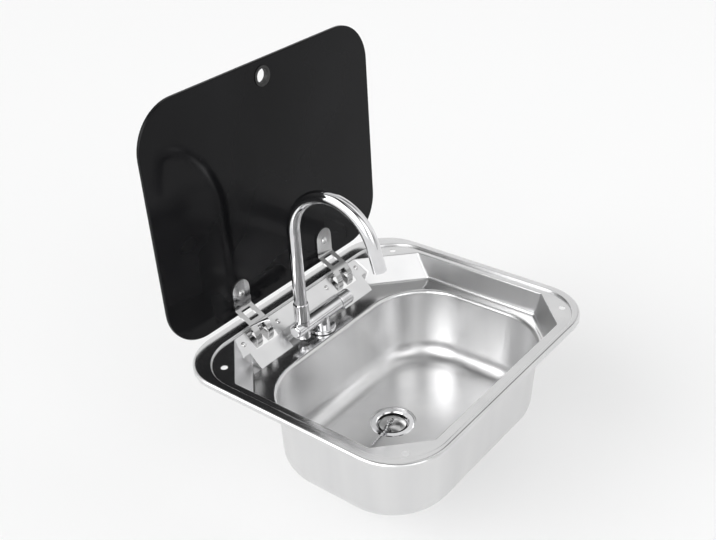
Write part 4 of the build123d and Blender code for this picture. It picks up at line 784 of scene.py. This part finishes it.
def make_tap_shank():
    """Hollow brass shank of the tap: pipe thread, groove under the nut, and neck in the tap."""
    low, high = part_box("tap_shank")
    steps, count = SHANK_STEPS, len(THREAD_SHAPE)
    base, top = low[2], high[2]
    lift = base - SHANK_FOOT
    crest = (high[0] - low[0]) / 2
    work = bmesh.new()
    thread = [
        [work.verts.new(place) for place in row]
        for row in threaded_rows(base + THREAD_LEAD_IN, SHANK_GROOVE - THREAD_RUN_OUT + lift, crest)
    ]
    last = len(thread) - 1
    for row in range(last):
        for i in range(steps):
            if i + 1 < steps:
                corners = (thread[row][i], thread[row][i + 1], thread[row + 1][i + 1], thread[row + 1][i])
            else:
                onward, above = min(row + count, last), min(row + 1 + count, last)
                corners = (thread[row][i], thread[onward][0], thread[above][0], thread[row + 1][i])
            if len(set(corners)) == 4:
                work.faces.new(corners)
    groove, shoulder = SHANK_GROOVE + lift, SHANK_SHOULDER + lift
    plain = [
        (crest - THREAD_DEPTH, groove), (crest, groove), (crest, shoulder), (SHANK_NECK_RADIUS, shoulder),
        (SHANK_NECK_RADIUS, top), (SHANK_BORE_RADIUS, top), (SHANK_BORE_RADIUS, base),
        (crest - SHANK_FOOT_CHAMFER, base),
    ]
    rings = [thread[last]]
    rings += [ring_of_verts(work, radius, height, steps) for radius, height in plain]
    rings.append(thread[0])
    for below, above in zip(rings[:-1], rings[1:]):
        for i in range(steps):
            work.faces.new((below[i], below[(i + 1) % steps], above[(i + 1) % steps], above[i]))
    bmesh.ops.remove_doubles(work, verts=work.verts, dist=1e-6)
    mesh = mesh_from(work, "threaded_shank")
    centre = middle("tap_shank")
    mesh.transform(Matrix.Translation((centre.x, centre.y, 0)))
    smooth(mesh, 32)
    piece = link(mesh, "threaded_shank", brass)
    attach(piece, "sink")
    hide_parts("tap_shank")


NUT_BORE_RADIUS = 0.0101
NUT_FACE_SHARE, NUT_CORNER_SHARE, NUT_CHAMFER_SHARE = 0.96, 1.02, 0.14
NUT_OVERSHOOT = 0.001


def make_back_nut():
    """Hexagon back nut with chamfered corners."""
    low, high = (Vector(c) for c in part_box("tap_back_nut"))
    tall = high.z - low.z
    corner = max(high.x - low.x, high.y - low.y) / 2
    flat = corner * cos(pi / 6)
    face, outer, chamfer = flat * NUT_FACE_SHARE, corner * NUT_CORNER_SHARE, flat * NUT_CHAMFER_SHARE
    profile = [
        (NUT_BORE_RADIUS, 0), (face, 0), (outer, chamfer), (outer, tall - chamfer), (face, tall),
        (NUT_BORE_RADIUS, tall),
    ]
    nut = place_object("back_nut_blank", turned_mesh("back_nut_blank", profile, 72, ring=True))
    turn = 0.0 if high.x - low.x > high.y - low.y else pi / 6
    sides = [turn + side * pi / 3 for side in range(6)]
    work = bmesh.new()
    base, roof = (
        [work.verts.new((corner * cos(side), corner * sin(side), height)) for side in sides]
        for height in (-NUT_OVERSHOOT, tall + NUT_OVERSHOOT)
    )
    work.faces.new(base[::-1])
    work.faces.new(roof)
    for side in range(6):
        work.faces.new((base[side], base[(side + 1) % 6], roof[(side + 1) % 6], roof[side]))
    tool = place_object("hexagon", mesh_from(work, "hexagon"))
    mesh = shaped(nut, tool, "INTERSECT", "chamfered_back_nut")
    centre = middle("tap_back_nut")
    mesh.transform(Matrix.Translation((centre.x, centre.y, low.z)))
    smooth(mesh, 25)
    piece = link(mesh, "chamfered_back_nut", brass)
    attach(piece, "sink")
    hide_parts("tap_back_nut")


make_lid_glass()
make_fasteners()
make_plug_chain()
make_tap_shank()
make_back_nut()


# ---------------------------------------------------------------- floor, world and lamps
FLOOR_GAP = 0.002
FLOOR_REACH = 9.0
FLOOR_TONE = 0.86
WHITE_SHARE = 0.4
ROOM_LEVEL = 0.66
# direction, angles of the full and the soft edge in degrees, and the brightness added there
ROOM_PANELS = [
    ((0.66, -0.52, 0.54), 18, 40, 0.38),
    ((0.72, 0.52, 0.45), 16, 34, 0.25),
    ((-0.88, 0.25, 0.30), 20, 45, 1.6),
    ((-0.835, -0.147, 0.53), 10, 30, 2.2),
    ((-0.29, -0.797, 0.53), 10, 30, 1.7),
    ((-0.656, -0.555, 0.51), 6, 20, -0.6),
    ((-0.62, 0.45, 0.64), 10, 30, 1.5),
    ((-0.32, -0.26, 0.91), 18, 46, -0.58),
    ((0.66, 0.03, 0.75), 7, 24, -0.6),
    ((0.62, -0.76, 0.14), 5, 16, -0.45),
]
# direction square to a great circle, half widths of its full and soft edge, and the brightness added
ROOM_SEAMS = [
    ((0.97, 0.26, 0.0), 3, 10, -0.5),
    ((0.0, 0.0, 1.0), 4, 16, 0.28),
]


def plain_rays(tree):
    """One for camera, glossy and transmission rays, nought for the light that falls on things."""
    light = put(tree, "ShaderNodeLightPath", "which ray")
    first = put(tree, "ShaderNodeMath", "camera or glossy", operation="MAXIMUM")
    join(tree, light.outputs["Is Camera Ray"], first.inputs[0])
    join(tree, light.outputs["Is Glossy Ray"], first.inputs[1])
    second = put(tree, "ShaderNodeMath", "or transmission", operation="MAXIMUM")
    join(tree, first.outputs[0], second.inputs[0])
    join(tree, light.outputs["Is Transmission Ray"], second.inputs[1])
    return second.outputs[0]


def add_floor():
    """Plain white floor just under the lowest part, which keeps the object's shadow."""
    level = cad_box[0].z - FLOOR_GAP
    corners = [(-1, -1), (1, -1), (1, 1), (-1, 1)]
    mesh = bpy.data.meshes.new("floor")
    mesh.from_pydata([(x * FLOOR_REACH, y * FLOOR_REACH, level) for x, y in corners], [], [(0, 1, 2, 3)])
    floor = place_object("floor", mesh)
    material, tree, shader = new_material("pale_floor")
    shader.inputs["Base Color"].default_value = (FLOOR_TONE, FLOOR_TONE, FLOOR_TONE, 1)
    shader.inputs["Roughness"].default_value = 0.95
    shader.inputs["Specular IOR Level"].default_value = 0.0
    white = put(tree, "ShaderNodeEmission", "plain white")
    white.inputs["Color"].default_value = (1, 1, 1, 1)
    white.inputs["Strength"].default_value = 1.0
    share = put(tree, "ShaderNodeMath", "share of plain white", operation="MULTIPLY")
    share.inputs[1].default_value = WHITE_SHARE
    join(tree, plain_rays(tree), share.inputs[0])
    mix = put(tree, "ShaderNodeMixShader", "floor with its shadow")
    join(tree, share.outputs[0], mix.inputs["Fac"])
    join(tree, shader.outputs[0], mix.inputs[1])
    join(tree, white.outputs[0], mix.inputs[2])
    join(tree, mix.outputs[0], tree.nodes["Material Output"].inputs["Surface"])
    mesh.materials.append(material)


def nearness(tree, direction):
    """How near the ray's direction lies to another one, as the cosine between them."""
    coords = put(tree, "ShaderNodeTexCoord", "direction")
    along = put(tree, "ShaderNodeVectorMath", "nearness to it", operation="DOT_PRODUCT")
    along.inputs[1].default_value = Vector(direction).normalized()
    join(tree, coords.outputs["Generated"], along.inputs[0])
    return along.outputs["Value"]


def added(tree, level, value, start, end, low, high):
    """The room's brightness with a value faded in between two ends."""
    fade = put(tree, "ShaderNodeMapRange", "soft edge", interpolation_type="SMOOTHSTEP")
    fade.inputs["From Min"].default_value = start
    fade.inputs["From Max"].default_value = end
    fade.inputs["To Min"].default_value = low
    fade.inputs["To Max"].default_value = high
    join(tree, value, fade.inputs["Value"])
    total = put(tree, "ShaderNodeMath", "room with it", operation="ADD")
    join(tree, level, total.inputs[0])
    join(tree, fade.outputs["Result"], total.inputs[1])
    return total.outputs[0]


def add_glow(tree, level, direction, core, edge, gain):
    """Raise or lower the room's brightness round one direction, with a soft edge."""
    value = nearness(tree, direction)
    return added(tree, level, value, cos(radians(edge)), cos(radians(core)), 0.0, gain)


def add_seam(tree, level, normal, core, edge, gain):
    """Raise or lower the room's brightness along a great circle, with a soft edge."""
    side = put(tree, "ShaderNodeMath", "either side", operation="ABSOLUTE")
    join(tree, nearness(tree, normal), side.inputs[0])
    return added(tree, level, side.outputs[0], sin(radians(core)), sin(radians(edge)), gain, 0.0)


def add_world():
    """Studio room of pale walls with brighter panels, darker gaps and a pale band at the horizon."""
    world = bpy.data.worlds.new("studio")
    bpy.context.scene.world = world
    world.use_nodes = True
    tree = world.node_tree
    background = tree.nodes["Background"]
    level = put(tree, "ShaderNodeValue", "pale walls")
    level.outputs[0].default_value = ROOM_LEVEL
    total = level.outputs[0]
    for direction, core, edge, gain in ROOM_PANELS:
        total = add_glow(tree, total, direction, core, edge, gain)
    for normal, core, edge, gain in ROOM_SEAMS:
        total = add_seam(tree, total, normal, core, edge, gain)
    join(tree, total, background.inputs["Strength"])
    background.inputs["Color"].default_value = (1, 1, 1, 1)


def add_softbox(name, place, target, size, power):
    """Square soft lamp that faces a point."""
    data = bpy.data.lights.new(name, "AREA")
    data.shape = "RECTANGLE"
    data.size, data.size_y = size
    data.energy = power
    lamp = place_object(name, data)
    lamp.location = place
    lamp.rotation_euler = (Vector(target) - Vector(place)).to_track_quat("-Z", "Y").to_euler()


add_floor()
add_world()
add_softbox("soft_top", (0.4, -0.3, 2.4), (0, 0, 0), (1.8, 1.8), 6.0)

bpy.context.scene.view_settings.view_transform = "Standard"
